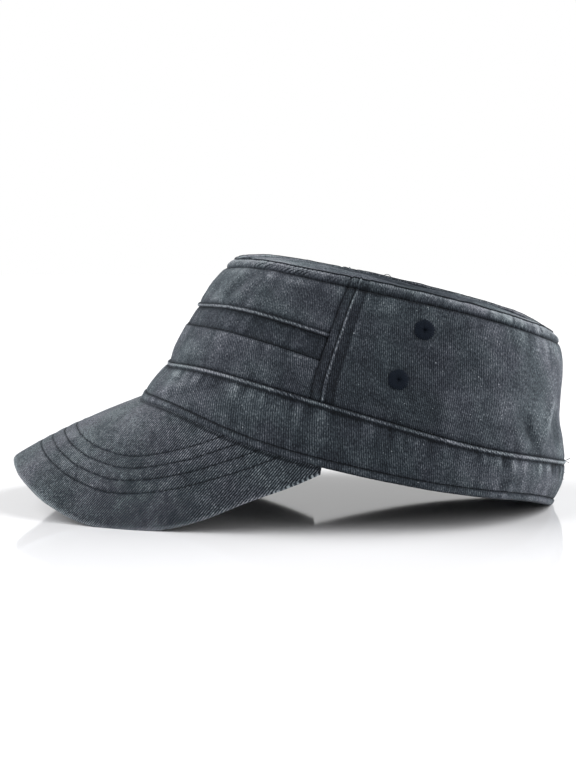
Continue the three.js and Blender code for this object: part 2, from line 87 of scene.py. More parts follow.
def table(columns, *rows):
    """A table: one dictionary for each row, with the named columns. What a row leaves out is 0."""
    names = columns.split()
    return [dict(zip(names, row + (0,) * (len(names) - len(row)))) for row in rows]


HEIGHT_COLUMNS = "h0 h30 h60 h90 h120 h150 h180"
RINGS = table(
    "name up front back side " + HEIGHT_COLUMNS,
    ("rim", 0, 0.995, 0.975, 1.0, 0.008, 0.057, 0.031, 0.028, 0.055, 0.057, 0.003),
    ("hem", 4, 0.985, 0.982, 1.0, 0.068, 0.104, 0.08, 0.077, 0.104, 0.105, 0.052),
    ("band", 14, 0.956, 0.99, 0.996, 0.158, 0.194, 0.208, 0.2, 0.212, 0.21, 0.163),
    ("seam", 25, 0.917, 0.984, 0.976, 0.263, 0.319, 0.353, 0.34, 0.32, 0.314, 0.281),
    ("low", 35, 0.908, 0.951, 0.957, 0.38, 0.433, 0.464, 0.452, 0.438, 0.43, 0.412),
    ("strip_foot", 44, 0.877, 0.912, 0.927, 0.52, 0.56, 0.583, 0.556, 0.548, 0.543, 0.525),
    ("strip_head", 55, 0.847, 0.886, 0.885, 0.645, 0.696, 0.725, 0.701, 0.69, 0.68, 0.66),
    ("high", 69, 0.812, 0.86, 0.838, 0.794, 0.838, 0.872, 0.882, 0.88, 0.86, 0.843),
    ("edge", 79, 0.766, 0.816, 0.795, 0.898, 0.946, 0.983, 1.003, 1.007, 0.976, 0.957),
    ("welt", 84.5, 0.724, 0.764, 0.753, 0.951, 0.989, 1.027, 1.055, 1.054, 1.029, 0.999),
    ("bevel", 92, 0.658, 0.7, 0.675, 1.0, 1.02, 1.047, 1.06, 1.062, 1.056, 1.048),
    ("dome", 116, 0.405, 0.445, 0.4, 1.054, 1.055, 1.06, 1.064, 1.072, 1.086, 1.09),
    ("crest", 150, -0.03, 0.03, 0, 1.068, 1.068, 1.068, 1.068, 1.068, 1.068, 1.068),
)
RING_UP = {row["name"]: row["up"] for row in RINGS}


def bent(values, slope, i, t, span=1.0):
    """Curve from value i to the next one, at its share t, with the slopes given at both ends."""
    bend = (1 - t) ** 2 * t * span * slope[i] - (1 - t) * t**2 * span * slope[i + 1]
    return values[i] * (1 + 2 * t) * (1 - t) ** 2 + values[i + 1] * t**2 * (3 - 2 * t) + bend


def curve(rows, knot, column, at):
    """Smooth curve through one column of a table, read at the places `at`."""
    knots = np.array([row[knot] for row in rows], float)
    values = np.array([row[column] for row in rows], float)
    last = len(rows) - 1
    order = np.arange(last + 1)
    before, after = np.maximum(order - 1, 0), np.minimum(order + 1, last)
    slope = (values[after] - values[before]) / (knots[after] - knots[before])
    i = np.minimum(np.searchsorted(knots[1:], at, side="left"), last - 1)
    span = knots[i + 1] - knots[i]
    return bent(values, slope, i, (at - knots[i]) / span, span)


def power(value, exponent):
    return np.sign(value) * np.abs(value) ** exponent


def form_point(up, angle):
    """Point of the bare form. Angle 0 is the front, and + turns to the wearer's left."""
    up, angle = np.broadcast_arrays(np.asarray(up, float), np.asarray(angle, float))
    front = curve(RINGS, "up", "front", up) * HALF_LENGTH
    back = curve(RINGS, "up", "back", up) * HALF_LENGTH
    side = curve(RINGS, "up", "side", up) * HALF_WIDTH
    heights = [curve(RINGS, "up", column, up) * CROWN_HEIGHT for column in HEIGHT_COLUMNS.split()]
    waves = len(heights) - 1
    height = 0
    for k in range(waves + 1):
        share = sum(
            (0.5 if j in (0, waves) else 1) * heights[j] * math.cos(k * j * math.pi / waves)
            for j in range(waves + 1))
        height = height + share * (1 if k in (0, waves) else 2) / waves * np.cos(k * angle)
    across = side * power(np.sin(angle), 2 / PLAN_POWER)
    along = (back - front) / 2 - (back + front) / 2 * power(np.cos(angle), 2 / PLAN_POWER)
    return np.stack([across, along, height], -1)


def form_normal(up, angle):
    climb = form_point(up + 0.4, angle) - form_point(up - 0.4, angle)
    turn = form_point(up, angle + 0.02) - form_point(up, angle - 0.02)
    normal = np.cross(turn, climb)
    return normal / np.maximum(np.linalg.norm(normal, axis=-1, keepdims=True), 1e-9)


def place_along(ring, by, angle):
    """The `up` that lies a true distance `by` from a ring."""
    start = RING_UP[ring]
    if by == 0:
        return np.full_like(angle, start)
    pace = np.linalg.norm(
        form_point(start + np.sign(by), angle) - form_point(start, angle), axis=-1)
    return start + by / pace


def length_along(points):
    """Length of the way along a row of points, up to each of them."""
    return np.concatenate([[0], np.cumsum(np.linalg.norm(np.diff(points, axis=0), axis=-1))])


GIRTH_ANGLES = np.radians(np.linspace(-180, 180, 721))
GIRTH = length_along(form_point(RING_UP["seam"], GIRTH_ANGLES))


def way_round(angle):
    """Distance round the cap from the middle of the back, at the band's seam."""
    turns = np.floor((angle + math.pi) / (2 * math.pi))
    return np.interp(angle - turns * 2 * math.pi, GIRTH_ANGLES, GIRTH) + turns * GIRTH[-1]


def from_front(angle):
    """How far an angle is turned away from the front, on either side."""
    return np.abs(np.arctan2(np.sin(angle), np.cos(angle)))


print(f"way round the band seam: {GIRTH[-1]:.0f} mm")

# %% [markdown]
# ## Folds and unevenness
# Cloth that was washed and worn never lies smooth. Large soft folds and dents have their own row
# in a table: a smooth bump with a place, a lean, two half sizes and a height. On top of them
# come two grains of smooth random unevenness, always from the same seed, so the cap is the same
# on every run. One function gives this relief for all panels, so neighbours meet.

# %% Folds
FOLDS = table(
    "angle up lean long wide out",
    (40, 68, 31, 10, 2.6, 0.7), (34, 69, 31, 9, 3.4, -0.7), (29, 67, 20, 9, 2.6, 0.5),
    (50, 71, 25, 8, 3.2, -0.5), (27, 11, 60, 13, 3.2, 0.8), (36, 12, 74, 16, 3.6, -0.7),
    (48, 15, 78, 16, 3.6, 0.5), (107, 37, -4, 9, 3.6, 0.6), (103, 36, -6, 10, 3.4, -0.6),
    (136.5, 37, -35, 7, 3.6, -1.7), (148, 43, 39, 13, 2.6, 1.5), (155, 38, 30, 9, 4.5, -1.0),
    (125, 44, 50, 14, 5, 0.5), (166, 14, 2, 14, 4, -0.9), (173, 14, -2, 14, 4, 0.7),
    (110, 88, 0, 4, 4, 1.1), (70, 104, 70, 26, 12, -0.8), (110, 101, 60, 20, 9, 1.0),
    (-50, 84, 0, 3, 55, 1.0), (-146, 84, 90, 40, 3.5, 2.0), (180, 108, 90, 60, 15, -1.0),
    (-26, 66, 22, 11, 3.2, 0.7), (-40, 64, 12, 11, 3.6, -0.6), (-20, 12, 76, 22, 4, 0.7),
    (-104, 40, 4, 12, 4, -0.7), (-138, 40, 26, 11, 5, -1.1), (-150, 45, 30, 13, 3.4, 0.9),
    (-168, 13, 0, 13, 4, -0.9), (-98, 103, 70, 24, 10, 0.8),
)


# Height, spot size and seed: coarse and fine on the wall, and on the top.
WALL_COARSE, WALL_FINE, TOP_UNEVEN = (0.22, 11, 3), (0.08, 4.5, 5), (0.75, 17, 7)


def eased(t):
    """Goes from 0 to 1 with level ends."""
    return t * t * (3 - 2 * t)


def wander(at, count, seed):
    """Smooth random curve from -1 to 1 that repeats after `count` knots."""
    knots = np.random.default_rng(seed).uniform(-1, 1, count)
    low = np.floor(at).astype(int)
    t = eased(at - low)
    return knots[low % count] * (1 - t) + knots[(low + 1) % count] * t


def cloud(a, b, knots):
    """Smooth surface through a grid of values that repeats both ways."""
    rows, columns = knots.shape
    i, j = np.floor(a).astype(int), np.floor(b).astype(int)
    s, t = eased(a - i), eased(b - j)
    here, above = (
        knots[k % rows, i % columns] * (1 - s) + knots[k % rows, (i + 1) % columns] * s
        for k in (j, j + 1))
    return here * (1 - t) + above * t


def wall_mottle(up, angle, high, size, seed):
    """Unevenness of the wall, `high` millimetres up or down, in spots of about `size`."""
    count = round(GIRTH[-1] / size)
    knots = np.random.default_rng(seed).uniform(-1, 1, (64, count))
    return high * cloud(way_round(angle) / GIRTH[-1] * count, np.asarray(up) / size + 8, knots)


def top_mottle(points, high, size, seed):
    """The same for the top, laid by its plan, so nothing runs together at its middle."""
    plan = points / size + 32
    knots = np.random.default_rng(seed).uniform(-1, 1, (64, 64))
    return high * cloud(plan[..., 0], plan[..., 1], knots)


def on_top(up):
    """0 on the wall, 1 on the inner part of the top, where turns round the cap run together."""
    return np.clip((up - 92) / 18, 0, 1)


def relief(up, angle):
    """How far the cloth stands off the form, in millimetres."""
    side = np.maximum(curve(RINGS, "up", "side", up) * HALF_WIDTH, 20)
    wall = wall_mottle(up, angle, *WALL_COARSE) + wall_mottle(up, angle, *WALL_FINE)
    inner = on_top(up)
    depth = wall * (1 - inner) + inner * top_mottle(form_point(up, angle), *TOP_UNEVEN)
    for fold in FOLDS:
        turn = angle - math.radians(fold["angle"])
        around = np.arctan2(np.sin(turn), np.cos(turn)) * side
        rise = up - fold["up"]
        lean = math.radians(fold["lean"])
        along = rise * math.cos(lean) + around * math.sin(lean)
        across = around * math.cos(lean) - rise * math.sin(lean)
        depth = depth + fold["out"] * np.exp(
            -((along / fold["long"]) ** 2) - (across / fold["wide"]) ** 2)
    return depth


print("folds and dents:", len(FOLDS))

# %% [markdown]
# ## How the cap rests
# The form is drafted with its rim level. On a table the cap tips forward on the two lower edges
# of its visor and the back of its rim, by 14.4 degrees. Only where it touches is the cloth
# pressed flat, so no point goes under the table.

# %% Rest on the table
PITCH = math.radians(14.404824)
TABLE_LEVEL = -23.837841
MIDDLE = -28.513214


def at_rest(points):
    """Drafted points, in millimetres, placed as the cap rests, in metres."""
    x, y, z = points[..., 0], points[..., 1], points[..., 2]
    along = y * math.cos(PITCH) + z * math.sin(PITCH) - MIDDLE
    height = z * math.cos(PITCH) - y * math.sin(PITCH) - TABLE_LEVEL
    return np.stack([x, along, np.maximum(height, 0)], -1) * MM


print(f"pitched by {math.degrees(PITCH):.1f} degrees")

# %% [markdown]
# ## Laying cloth
# A panel starts as a flat grid of small squares, as cloth is cut flat. Every grid point then
# moves to its place on the form, which keeps the weave's own coordinates in the UV map, in
# metres of real cloth. The grid also keeps how pale the cloth is at each point: the wash takes
# colour off ridges and leaves it in grooves, painted shade darkens grooves, dents and joints,
# and painted light brightens folds and the ends of the cap. Points that meet are merged, so the
# piece closes.

# %% Lay a grid of cloth
SAME_POINT = 2e-6


def lay_cloth(name, points, weave, fade):
    """A closed piece of cloth from rows of points, its weave coordinates and its wash and painted
    shade.
    """
    lines, columns = points.shape[0] - 1, points.shape[1] - 1
    bpy.ops.mesh.primitive_grid_add(x_subdivisions=columns, y_subdivisions=lines, size=1)
    cloth = bpy.context.object
    cloth.name = cloth.data.name = name
    mesh = cloth.data
    flat = np.zeros(len(mesh.vertices) * 3, np.float32)
    mesh.vertices.foreach_get("co", flat)
    flat = flat.reshape(-1, 3)
    column = np.rint((flat[:, 0] + 0.5) * columns).astype(int)
    line = np.rint((flat[:, 1] + 0.5) * lines).astype(int)
    placed = at_rest(points)[line, column]
    mesh.vertices.foreach_set("co", placed.astype(np.float32).ravel())
    corner = np.zeros(len(mesh.loops), np.int32)
    mesh.loops.foreach_get("vertex_index", corner)
    chart = mesh.uv_layers[0]
    chart.name = "weave"
    chart.uv.foreach_set("vector", (weave[line, column][corner] * MM).astype(np.float32).ravel())
    paleness = mesh.attributes.new("fade", "FLOAT", "POINT")
    paleness.data.foreach_set("value", np.clip(fade, 0, 1.2)[line, column].astype(np.float32))
    bpy.ops.object.mode_set(mode="EDIT")
    bpy.ops.mesh.select_all(action="SELECT")
    bpy.ops.mesh.remove_doubles(threshold=SAME_POINT)
    bpy.ops.mesh.select_all(action="DESELECT")
    bpy.ops.mesh.select_non_manifold(extend=False)
    bpy.ops.mesh.fill_holes(sides=0)
    bpy.ops.mesh.select_all(action="SELECT")
    bpy.ops.mesh.normals_make_consistent(inside=False)
    bpy.ops.object.mode_set(mode="OBJECT")
    bpy.ops.object.shade_smooth()
    print(f"{name}: {len(mesh.polygons)} faces")
    return cloth


# %% [markdown]
# ## Sewn sections
# A sewn edge has a section of its own: a fold, a corded ridge, a groove where the stitches pull
# the cloth down. The section is a short table from the lower edge to the upper one and back
# inside. Each row lies `by` millimetres from a ring. `out` is how far it stands off the form,
# the next column how pale the cloth is there, from the wash and from painted shade in the dark
# grooves beside ridges and joints, `cells` how many squares follow, `gather` how strongly the
# seam puckers there, and `cord` how deep each stitch bites into a ridge.

# %% Turn a section table into rows of points
SEAM_ANGLE = math.radians(75.2)
SEAM_RADIUS = HALF_LENGTH * 0.93
STITCH_STEP = 2.8
# The weave leans about the middle of the wall.
MIDDLE_UP = 40
# How deep a stitch bites into a ridge, how much colour it keeps there, and how much paler the
# cloth is painted for each millimetre that it stands out: painted light on folds and painted
# shade in dents.
BITE_DEPTH, BITE_FADE, RELIEF_LIGHT_AND_SHADE = 0.35, 0.4, 0.14

# Across a side seam, by the distance behind its middle. The dark strips beside its pale ridge are
# partly dye that the wash left and partly painted shade in the ridge's lee.
SEAM_SIDE = table(
    "off out fade",
    (-12, 0, 0), (-4.2, 0, 0.01), (-3.3, -0.15, -0.1), (-2.6, -0.45, -0.26), (-2.2, -0.3, -0.2),
    (-1.7, 0.0, -0.13), (-0.8, 0.2, -0.07), (0.4, 0.2, -0.05), (1.3, 0.1, -0.08),
    (1.85, -0.1, -0.18), (2.15, 0.2, 0.05), (2.5, 0.55, 0.32), (2.9, 0.5, 0.26),
    (3.3, -0.05, -0.03), (4.2, -0.1, -0.12), (6.2, -0.1, -0.18), (6.9, -0.25, -0.25),
    (7.4, -0.1, -0.18), (8.3, 0.05, 0.04), (10, 0, 0),
)
# Round the cap the cloth is paler at the front and the back than at the sides: partly the wash,
# partly painted light where the ends face the two lamps.
WASH_AND_PAINTED_LIGHT = table(
    "angle fade",
    (0, 0.14), (25, 0.14), (45, 0.07), (60, 0), (75, -0.05), (95, -0.06), (112, 0), (130, 0.08),
    (150, 0.16), (165, 0.17), (180, 0.17),
)
# Where more length was eased into the seams, they pucker more.
EASE = table(
    "angle share", (0, 1.0), (25, 1.0), (45, 1.2), (62, 1.0), (100, 0.8), (122, 1.2), (145, 1.5),
    (180, 1.2))
# A ridge rubs against things, so it is paler still, more so where it stands out most.
RIDGE_WEAR = table(
    "angle fade", (0, 0.08), (35, 0.08), (50, 0.12), (66, 0.06), (85, 0), (100, 0.08), (115, 0.14),
    (150, 0.14), (180, 0.12))


def soft(values, at):
    """Smooth curve through values at 0, 1, 2 and so on that never passes beyond them."""
    values = np.asarray(values, float)
    step = np.diff(values)
    slope = np.zeros(len(values))
    bends = step[:-1] * step[1:] > 0
    slope[1:-1][bends] = 2 * step[:-1][bends] * step[1:][bends] / (step[:-1] + step[1:])[bends]
    i = np.minimum(at.astype(int), len(values) - 2)
    return bent(values, slope, i, at - i)


def level_curve(rows, knot, column, at):
    """A curve that stays level beyond the ends of its table."""
    return curve(rows, knot, column, np.clip(at, rows[0][knot], rows[-1][knot]))


def weave_of(up, angle, lean):
    """Coordinates along and across the wales, in millimetres. The wales lean with the cut."""
    aside = (up - MIDDLE_UP) * np.tan(math.radians(lean) * np.sin(angle))
    return np.stack([way_round(angle) + aside, up], -1)


def cells_between(rows):
    """Places of all cells along a section, the row before each, and its share of the way on."""
    at = np.concatenate(
        [k + np.arange(row["cells"]) / row["cells"] for k, row in enumerate(rows[:-1])]
        + [[len(rows) - 1]])
    low = np.minimum(at.astype(int), len(rows) - 2)
    return at, low, (at - low)[:, None]


def sewn_rows(rows, angle, closed=True, crown=True, spacing=3.4, slant=0.0, twist=2.0,
              bites=None, seed=1, lean=29):
    """Points, weave coordinates, wash and painted shade of a section that is carried along the
    angles.
    """
    keys = rows + rows[:1] if closed else rows
    at, low, share = cells_between(keys)
    ups = np.stack([place_along(row["ring"], row["by"], angle) for row in keys])
    up = ups[low] * (1 - share) + ups[low + 1] * share
    turn = np.broadcast_to(angle, up.shape)
    out, fade, gather, cord = (
        soft([row[column] for row in keys], at)[:, None]
        for column in ("out", "fade", "gather", "cord"))
    around = way_round(turn)
    degrees = np.degrees(from_front(turn))
    count = round(GIRTH[-1] / spacing)
    knots = (around + slant * (up - ups[0])) / GIRTH[-1] * count
    pucker = 0.7 * wander(knots, count, seed) + 0.45 * wander(2 * knots, 2 * count, seed + 50)
    gather = gather * level_curve(EASE, "angle", "share", degrees)
    out = out + gather * pucker
    fade = fade + gather * np.minimum(pucker, 0.7) * 0.7
    centre = (up * cord).sum(0) / max(cord.sum(), 1e-6)
    stitch = (around + twist * (up - centre)) / STITCH_STEP
    stitch = stitch + 0.35 * wander(around / 7 + 200, 400, seed + 20)
    fade = fade + cord * level_curve(RIDGE_WEAR, "angle", "fade", degrees)
    cord = cord * (0.75 + 0.5 * wander(around / 5 + 200, 400, seed + 30))
    if bites is not None:
        cord = cord * level_curve(bites, "angle", "share", degrees)
        fade = fade + level_curve(bites, "angle", "fade", degrees)
    bite = cord * (0.5 - 0.5 * np.cos(2 * math.pi * stitch)) ** 3
    out = out - BITE_DEPTH * bite
    fade = fade - BITE_FADE * bite
    if crown:
        off = (from_front(turn) - SEAM_ANGLE) * SEAM_RADIUS
        out = out + level_curve(SEAM_SIDE, "off", "out", off) * (out > -1.2)
        nick = (0.5 - 0.5 * np.cos(2 * math.pi * up / STITCH_STEP)) ** 2
        seam_wear_and_shade = level_curve(SEAM_SIDE, "off", "fade", off)
        fade = fade + seam_wear_and_shade * np.where(seam_wear_and_shade > 0.05, 1.1 - 0.7 * nick, 1)
    bump = relief(up, turn)
    # Paler front and back: wash and painted light, fading out on the middle of the top.
    wash_and_painted_light = level_curve(WASH_AND_PAINTED_LIGHT, "angle", "fade", degrees) * (1 - on_top(up))
    # Painted light and shade from the relief: folds paler, dents darker.
    fade = fade + wash_and_painted_light + RELIEF_LIGHT_AND_SHADE * bump
    points = form_point(up, turn) + form_normal(up, turn) * (out + bump)[..., None]
    return points, weave_of(up, turn, lean), fade


def full_turn(columns):
    return np.radians(np.linspace(-180, 180, columns + 1))


pieces = {}

# %% [markdown]
# ## Rim and band
# The band is a strip of cloth, sewn to the crown with a cord-like ridge: its upper edge is
# folded over and stitched down, so a light worn ridge runs above a dark line of puckers. Its
# lower edge is folded inside and stitched again, which makes the soft welt of the rim.

# %% Rim welt and band
RIM_WELT = table(
    "ring by out fade cells gather cord",
    ("rim", 0, -0.5, 0.05, 2), ("rim", 0.6, 0.3, 0.36, 2, 0.08), ("rim", 1.7, 0.8, 0.5, 3, 0.12),
    ("hem", -1.2, 0.7, 0.46, 3, 0.15), ("hem", -0.35, -0.15, 0.26, 1, 0.05),
    ("hem", -0.35, -CLOTH, 0.3, 3), ("rim", 0.4, -CLOTH - 0.4, 0.3, 1), ("rim", 0, -CLOTH, 0.3, 1),
)
# The groove just above the corded ridge, where the crown panels start, is dark partly from dye the
# wash left and partly from painted shade.
BAND = table(
    "ring by out fade cells gather cord",
    ("hem", -0.25, -0.2, 0.24, 3, 0.05), ("hem", 0.5, 0.2, 0.42, 4, 0.12),
    ("hem", 3.0, 0.3, 0.46, 7, 0.14), ("band", -1.0, 0.45, 0.48, 8, 0.05),
    ("seam", -7.5, 0.3, 0.48, 6, 0.14), ("seam", -4.4, 0.1, 0.49, 5, 0.34),
    ("seam", -2.6, -0.05, 0.42, 3, 0.34), ("seam", -1.45, -0.35, 0.16, 2, 0.22),
    ("seam", -0.85, 0.0, 0.22, 2, 0.05, 0.5), ("seam", -0.3, 0.5, 0.66, 2, 0, 1),
    ("seam", 0.3, 0.6, 0.72, 2, 0, 1), ("seam", 0.8, 0.2, 0.35, 2, 0, 0.7),
    ("seam", 1.05, -0.35, 0.1, 1), ("seam", 1.05, -CLOTH, 0.3, 4),
    ("band", 0, -CLOTH + 0.3, 0.3, 5), ("hem", -0.25, -CLOTH, 0.3, 1),
)
pieces["rim_welt"] = lay_cloth(
    "rim_welt_cloth", *sewn_rows(RIM_WELT, full_turn(1000), crown=False, spacing=3.0, slant=0.5,
                                 seed=11, lean=26))
pieces["band"] = lay_cloth(
    "band_cloth", *sewn_rows(BAND, full_turn(1300), crown=False, spacing=3.4, slant=0.25, seed=12,
                             lean=26))

# %% [markdown]
# ## Front panels
# The front is two panels with a narrow strip let in between them. The upper panel's lower edge
# is folded over the strip and stitched, which gives the light ridge, and the strip lies a little
# deeper and keeps more of its colour.

# %% Front panels and strip
FRONT_LOWER = table(
    "ring by out fade cells gather cord",
    ("seam", 1.15, -0.4, 0.12, 2), ("seam", 1.9, -0.15, 0.3, 3, 0.08),
    ("seam", 3.2, 0.0, 0.42, 5, 0.10), ("seam", 5.5, 0.0, 0.46, 7, 0.06), ("low", 0, 0.0, 0.47, 9),
    ("strip_foot", -3.5, 0.1, 0.46, 5, 0.10), ("strip_foot", -0.8, 0.2, 0.5, 2, 0.14),
    ("strip_foot", 0.1, -0.1, 0.3, 1), ("strip_foot", 0.1, -CLOTH, 0.3, 4),
    ("seam", 1.15, -CLOTH, 0.3, 1),
)
# Just under the fold the strip is painted darker still: a painted shadow of the folded edge.
FRONT_STRIP = table(
    "ring by out fade cells gather cord",
    ("strip_foot", 0.2, -0.65, 0.14, 2), ("strip_foot", 0.9, -0.5, 0.2, 3, 0.10),
    ("strip_foot", 2.2, -0.35, 0.34, 4, 0.18), ("strip_foot", 4.5, -0.35, 0.38, 5, 0.12),
    ("strip_head", -3.2, -0.35, 0.38, 4, 0.16), ("strip_head", -1.5, -0.6, 0.22, 2, 0.08),
    ("strip_head", -0.65, -0.75, 0.1, 1), ("strip_head", -0.65, -CLOTH - 0.1, 0.3, 3),
    ("strip_foot", 0.2, -CLOTH - 0.1, 0.3, 1),
)
FRONT_UPPER = table(
    "ring by out fade cells gather cord",
    ("strip_head", -0.55, -0.2, 0.2, 1), ("strip_head", -0.3, 0.35, 0.6, 2, 0, 0.7),
    ("strip_head", 0.2, 0.6, 0.76, 2, 0, 1), ("strip_head", 0.7, 0.3, 0.5, 2, 0, 0.8),
    ("strip_head", 1.3, -0.3, 0.2, 2, 0.05), ("strip_head", 2.0, -0.1, 0.36, 3, 0.14),
    ("strip_head", 3.6, 0.1, 0.47, 6, 0.22), ("high", -4, 0.0, 0.48, 10, 0.06),
    ("high", 4, 0.0, 0.48, 6, 0.08), ("edge", -2.4, 0.0, 0.55, 4, 0.26),
    ("edge", -0.7, -0.1, 0.5, 2, 0.2), ("edge", 0.3, -0.45, 0.2, 1), ("edge", 0.3, -CLOTH, 0.3, 5),
    ("strip_head", -0.55, -CLOTH, 0.3, 1),
)
# A side seam reaches 2.5 mm to the front of its middle and 3 mm to the back, and a hair's
# breadth lies between it and each panel.
SEAM_FRONT, SEAM_BACK, HAIR = 2.5 / SEAM_RADIUS, 3.0 / SEAM_RADIUS, 0.05 / SEAM_RADIUS


def finer_at_ends(start, end, columns, near=0.08, more=2.0):
    """Angles from start to end that lie closer together near both ends."""
    at = np.linspace(0, 1, columns + 1)
    pace = 1 / (1 + (more - 1) * (np.exp(-at / near) + np.exp(-(1 - at) / near)))
    way = np.concatenate([[0], np.cumsum(pace[1:] + pace[:-1])])
    return start + (end - start) * way / way[-1]


front_end = SEAM_ANGLE - SEAM_FRONT - HAIR
front_turn = finer_at_ends(-front_end, front_end, 560)
pieces["front_panel_lower"] = lay_cloth(
    "front_panel_lower_cloth",
    *sewn_rows(FRONT_LOWER, front_turn, spacing=4.2, slant=0.2, seed=21))
pieces["front_strip"] = lay_cloth(
    "front_strip_cloth", *sewn_rows(FRONT_STRIP, front_turn, spacing=3.6, slant=-0.2, seed=22))
pieces["front_panel_upper"] = lay_cloth(
    "front_panel_upper_cloth",
    *sewn_rows(FRONT_UPPER, front_turn, spacing=4.6, slant=-0.15, seed=23))

# %% [markdown]
# ## Side seams and back
# Front and back meet in a flat-felled seam: one edge is folded over the other and stitched
# twice. The folded edge is worn light, and just behind it the cloth lies deep and dark, partly
# in dye that the wash left and partly in painted shade. The back is one wide panel.

# %% Side seams and back panel
SIDE_SEAM = table(
    "ring by out fade cells gather cord",
    ("seam", 1.15, -0.4, 0.15, 3), ("seam", 2.4, 0.1, 0.4, 34, 0.1),
    ("strip_foot", 0, 0.15, 0.42, 22, 0.12), ("strip_head", 0, 0.15, 0.46, 28, 0.12),
    ("high", 0, 0.15, 0.5, 18, 0.12), ("edge", -1.0, 0.0, 0.44, 2, 0.1),
    ("edge", 0.3, -0.4, 0.1, 1), ("edge", 0.3, -CLOTH, 0.3, 12), ("seam", 1.15, -CLOTH, 0.3, 1),
)
BACK = table(
    "ring by out fade cells gather cord",
    ("seam", 1.15, -0.4, 0.12, 2), ("seam", 1.9, -0.15, 0.3, 3, 0.08),
    ("seam", 3.2, 0.0, 0.42, 5, 0.08), ("seam", 5.5, 0, 0.46, 6, 0.05), ("low", 0, 0, 0.44, 11),
    ("strip_foot", 0, 0, 0.44, 13), ("strip_head", 0, 0, 0.46, 16), ("high", 0, 0, 0.49, 9, 0.04),
    ("edge", -2.6, 0, 0.56, 4, 0.16), ("edge", -0.8, -0.1, 0.5, 2, 0.12),
    ("edge", 0.3, -0.45, 0.18, 1), ("edge", 0.3, -CLOTH, 0.3, 10), ("seam", 1.15, -CLOTH, 0.3, 1),
)
for side, name in ((1, "side_seam_left"), (-1, "side_seam_right")):
    seam_turn = side * np.linspace(SEAM_ANGLE - SEAM_FRONT, SEAM_ANGLE + SEAM_BACK, 23)
    pieces[name] = lay_cloth(
        name + "_cloth", *sewn_rows(SIDE_SEAM, seam_turn, spacing=3.0, slant=1.0, seed=31))
back_end = SEAM_ANGLE + SEAM_BACK + HAIR
back_turn = finer_at_ends(back_end, 2 * math.pi - back_end, 640)
pieces["back_panel"] = lay_cloth(
    "back_panel_cloth", *sewn_rows(BACK, back_turn, spacing=4.4, slant=0.1, seed=33, lean=15))

# %% [markdown]
# ## Top
# The top is one flat oval panel, sewn to the wall with a thick felled welt. At the front the
# welt is gathered like a rope, because a longer edge was eased into a shorter one. The panel
# itself has one more row of stitching just inside the welt. Its weave runs straight across, so
# its weave coordinates are its plan.

# %% Top welt and top panel
# The dark line along the welt's crest is painted shade, standing in for the shadow of its inner
# wall.
TOP_WELT = table(
    "ring by out fade cells gather cord",
    ("edge", 0.4, -0.4, 0.15, 2), ("edge", 0.95, 0.35, 0.36, 2, 0.1, 0.6),
    ("edge", 1.7, 0.85, 0.5, 3, 0.2, 1), ("edge", 3.0, 1.05, 0.58, 3, 0.24, 1),
    ("welt", -1.6, 0.95, 0.72, 2, 0.2, 1), ("welt", -0.8, 1.1, 0.84, 2, 0.12, 0.6),
    ("welt", -0.55, 1.3, 0.02, 1, 0.08), ("welt", -0.3, 1.65, -0.15, 1, 0.05),
    ("welt", -0.2, 1.5, 0.1, 1, 0.05), ("welt", -0.2, 0.9, 0.7, 1, 0.05),
    ("welt", -0.2, -0.35, -0.3, 1), ("welt", -0.2, -CLOTH, 0.3, 2), ("edge", 0.4, -CLOTH, 0.3, 1),
)
# Where the panel meets the welt it is painted dark: painted shade in the join.
CROWN_TOP = table(
    "ring by out fade cells gather cord",
    ("crest", 0, -CLOTH, 0.3, 6), ("dome", 0, -CLOTH, 0.3, 5), ("welt", -0.1, -CLOTH, 0.3, 1),
    ("welt", -0.1, -0.4, -0.3, 2), ("welt", 0.7, -0.4, 0.1, 3, 0.1),
    ("welt", 2.2, -0.15, 0.36, 4, 0.2), ("bevel", -2.8, -0.05, 0.46, 2, 0.2),
    ("bevel", -2.0, -0.55, -0.1, 2, 0.1), ("bevel", -1.2, -0.15, 0.55, 4, 0.2),
    ("bevel", 3.0, -0.2, 0.64, 8, 0.12), ("bevel", 12, -0.1, 0.64, 8), ("dome", 0, 0, 0.56, 22),
    ("crest", 0, 0, 0.46, 1),
)
# Only at the front is the welt gathered so tightly that it looks like a rope.
ROPE = table(
    "angle share fade", (0, 1.4, 0.1), (48, 1.6, 0.1), (64, 0.8, 0.02), (80, 0.25, -0.04),
    (120, 0.2, -0.04), (150, 0.3, -0.1), (180, 0.4, -0.08))
pieces["top_welt"] = lay_cloth(
    "top_welt_cloth", *sewn_rows(TOP_WELT, full_turn(1200), spacing=2.8, slant=-0.8, twist=-0.9,
                                 bites=ROPE, seed=41))
top_points, top_weave, top_wear_and_shade = sewn_rows(
    CROWN_TOP, full_turn(720), closed=False, crown=False, spacing=4.0, slant=0.3, seed=42)
# The top rubs off unevenly, in patches as large as a palm. A painted slope of light and shade
# also makes its left side paler and its right side darker, where the far welt shades it.
TOP_PATCHES = (0.2, 38, 45)
# Painted light and shade: paler to the left, darker to the right.
top_wear_and_shade = top_wear_and_shade + top_mottle(top_points, *TOP_PATCHES) + 0.26 * top_points[..., 0] / 60
pieces["crown_top"] = lay_cloth("crown_top_cloth", top_points, top_points[..., :2], top_wear_and_shade)

# %% [markdown]
# ## Visor
# A stiff board inside two layers of cloth, curved down at its sides. Its outline runs from the
# tip round to the corner under the rim, and a straight line from each point of the rim to the
# outline, swollen a little, gives the surface. Four rows of stitching follow the outline at a
# steady distance, each in a fine groove, and the cloth puffs a little between them.

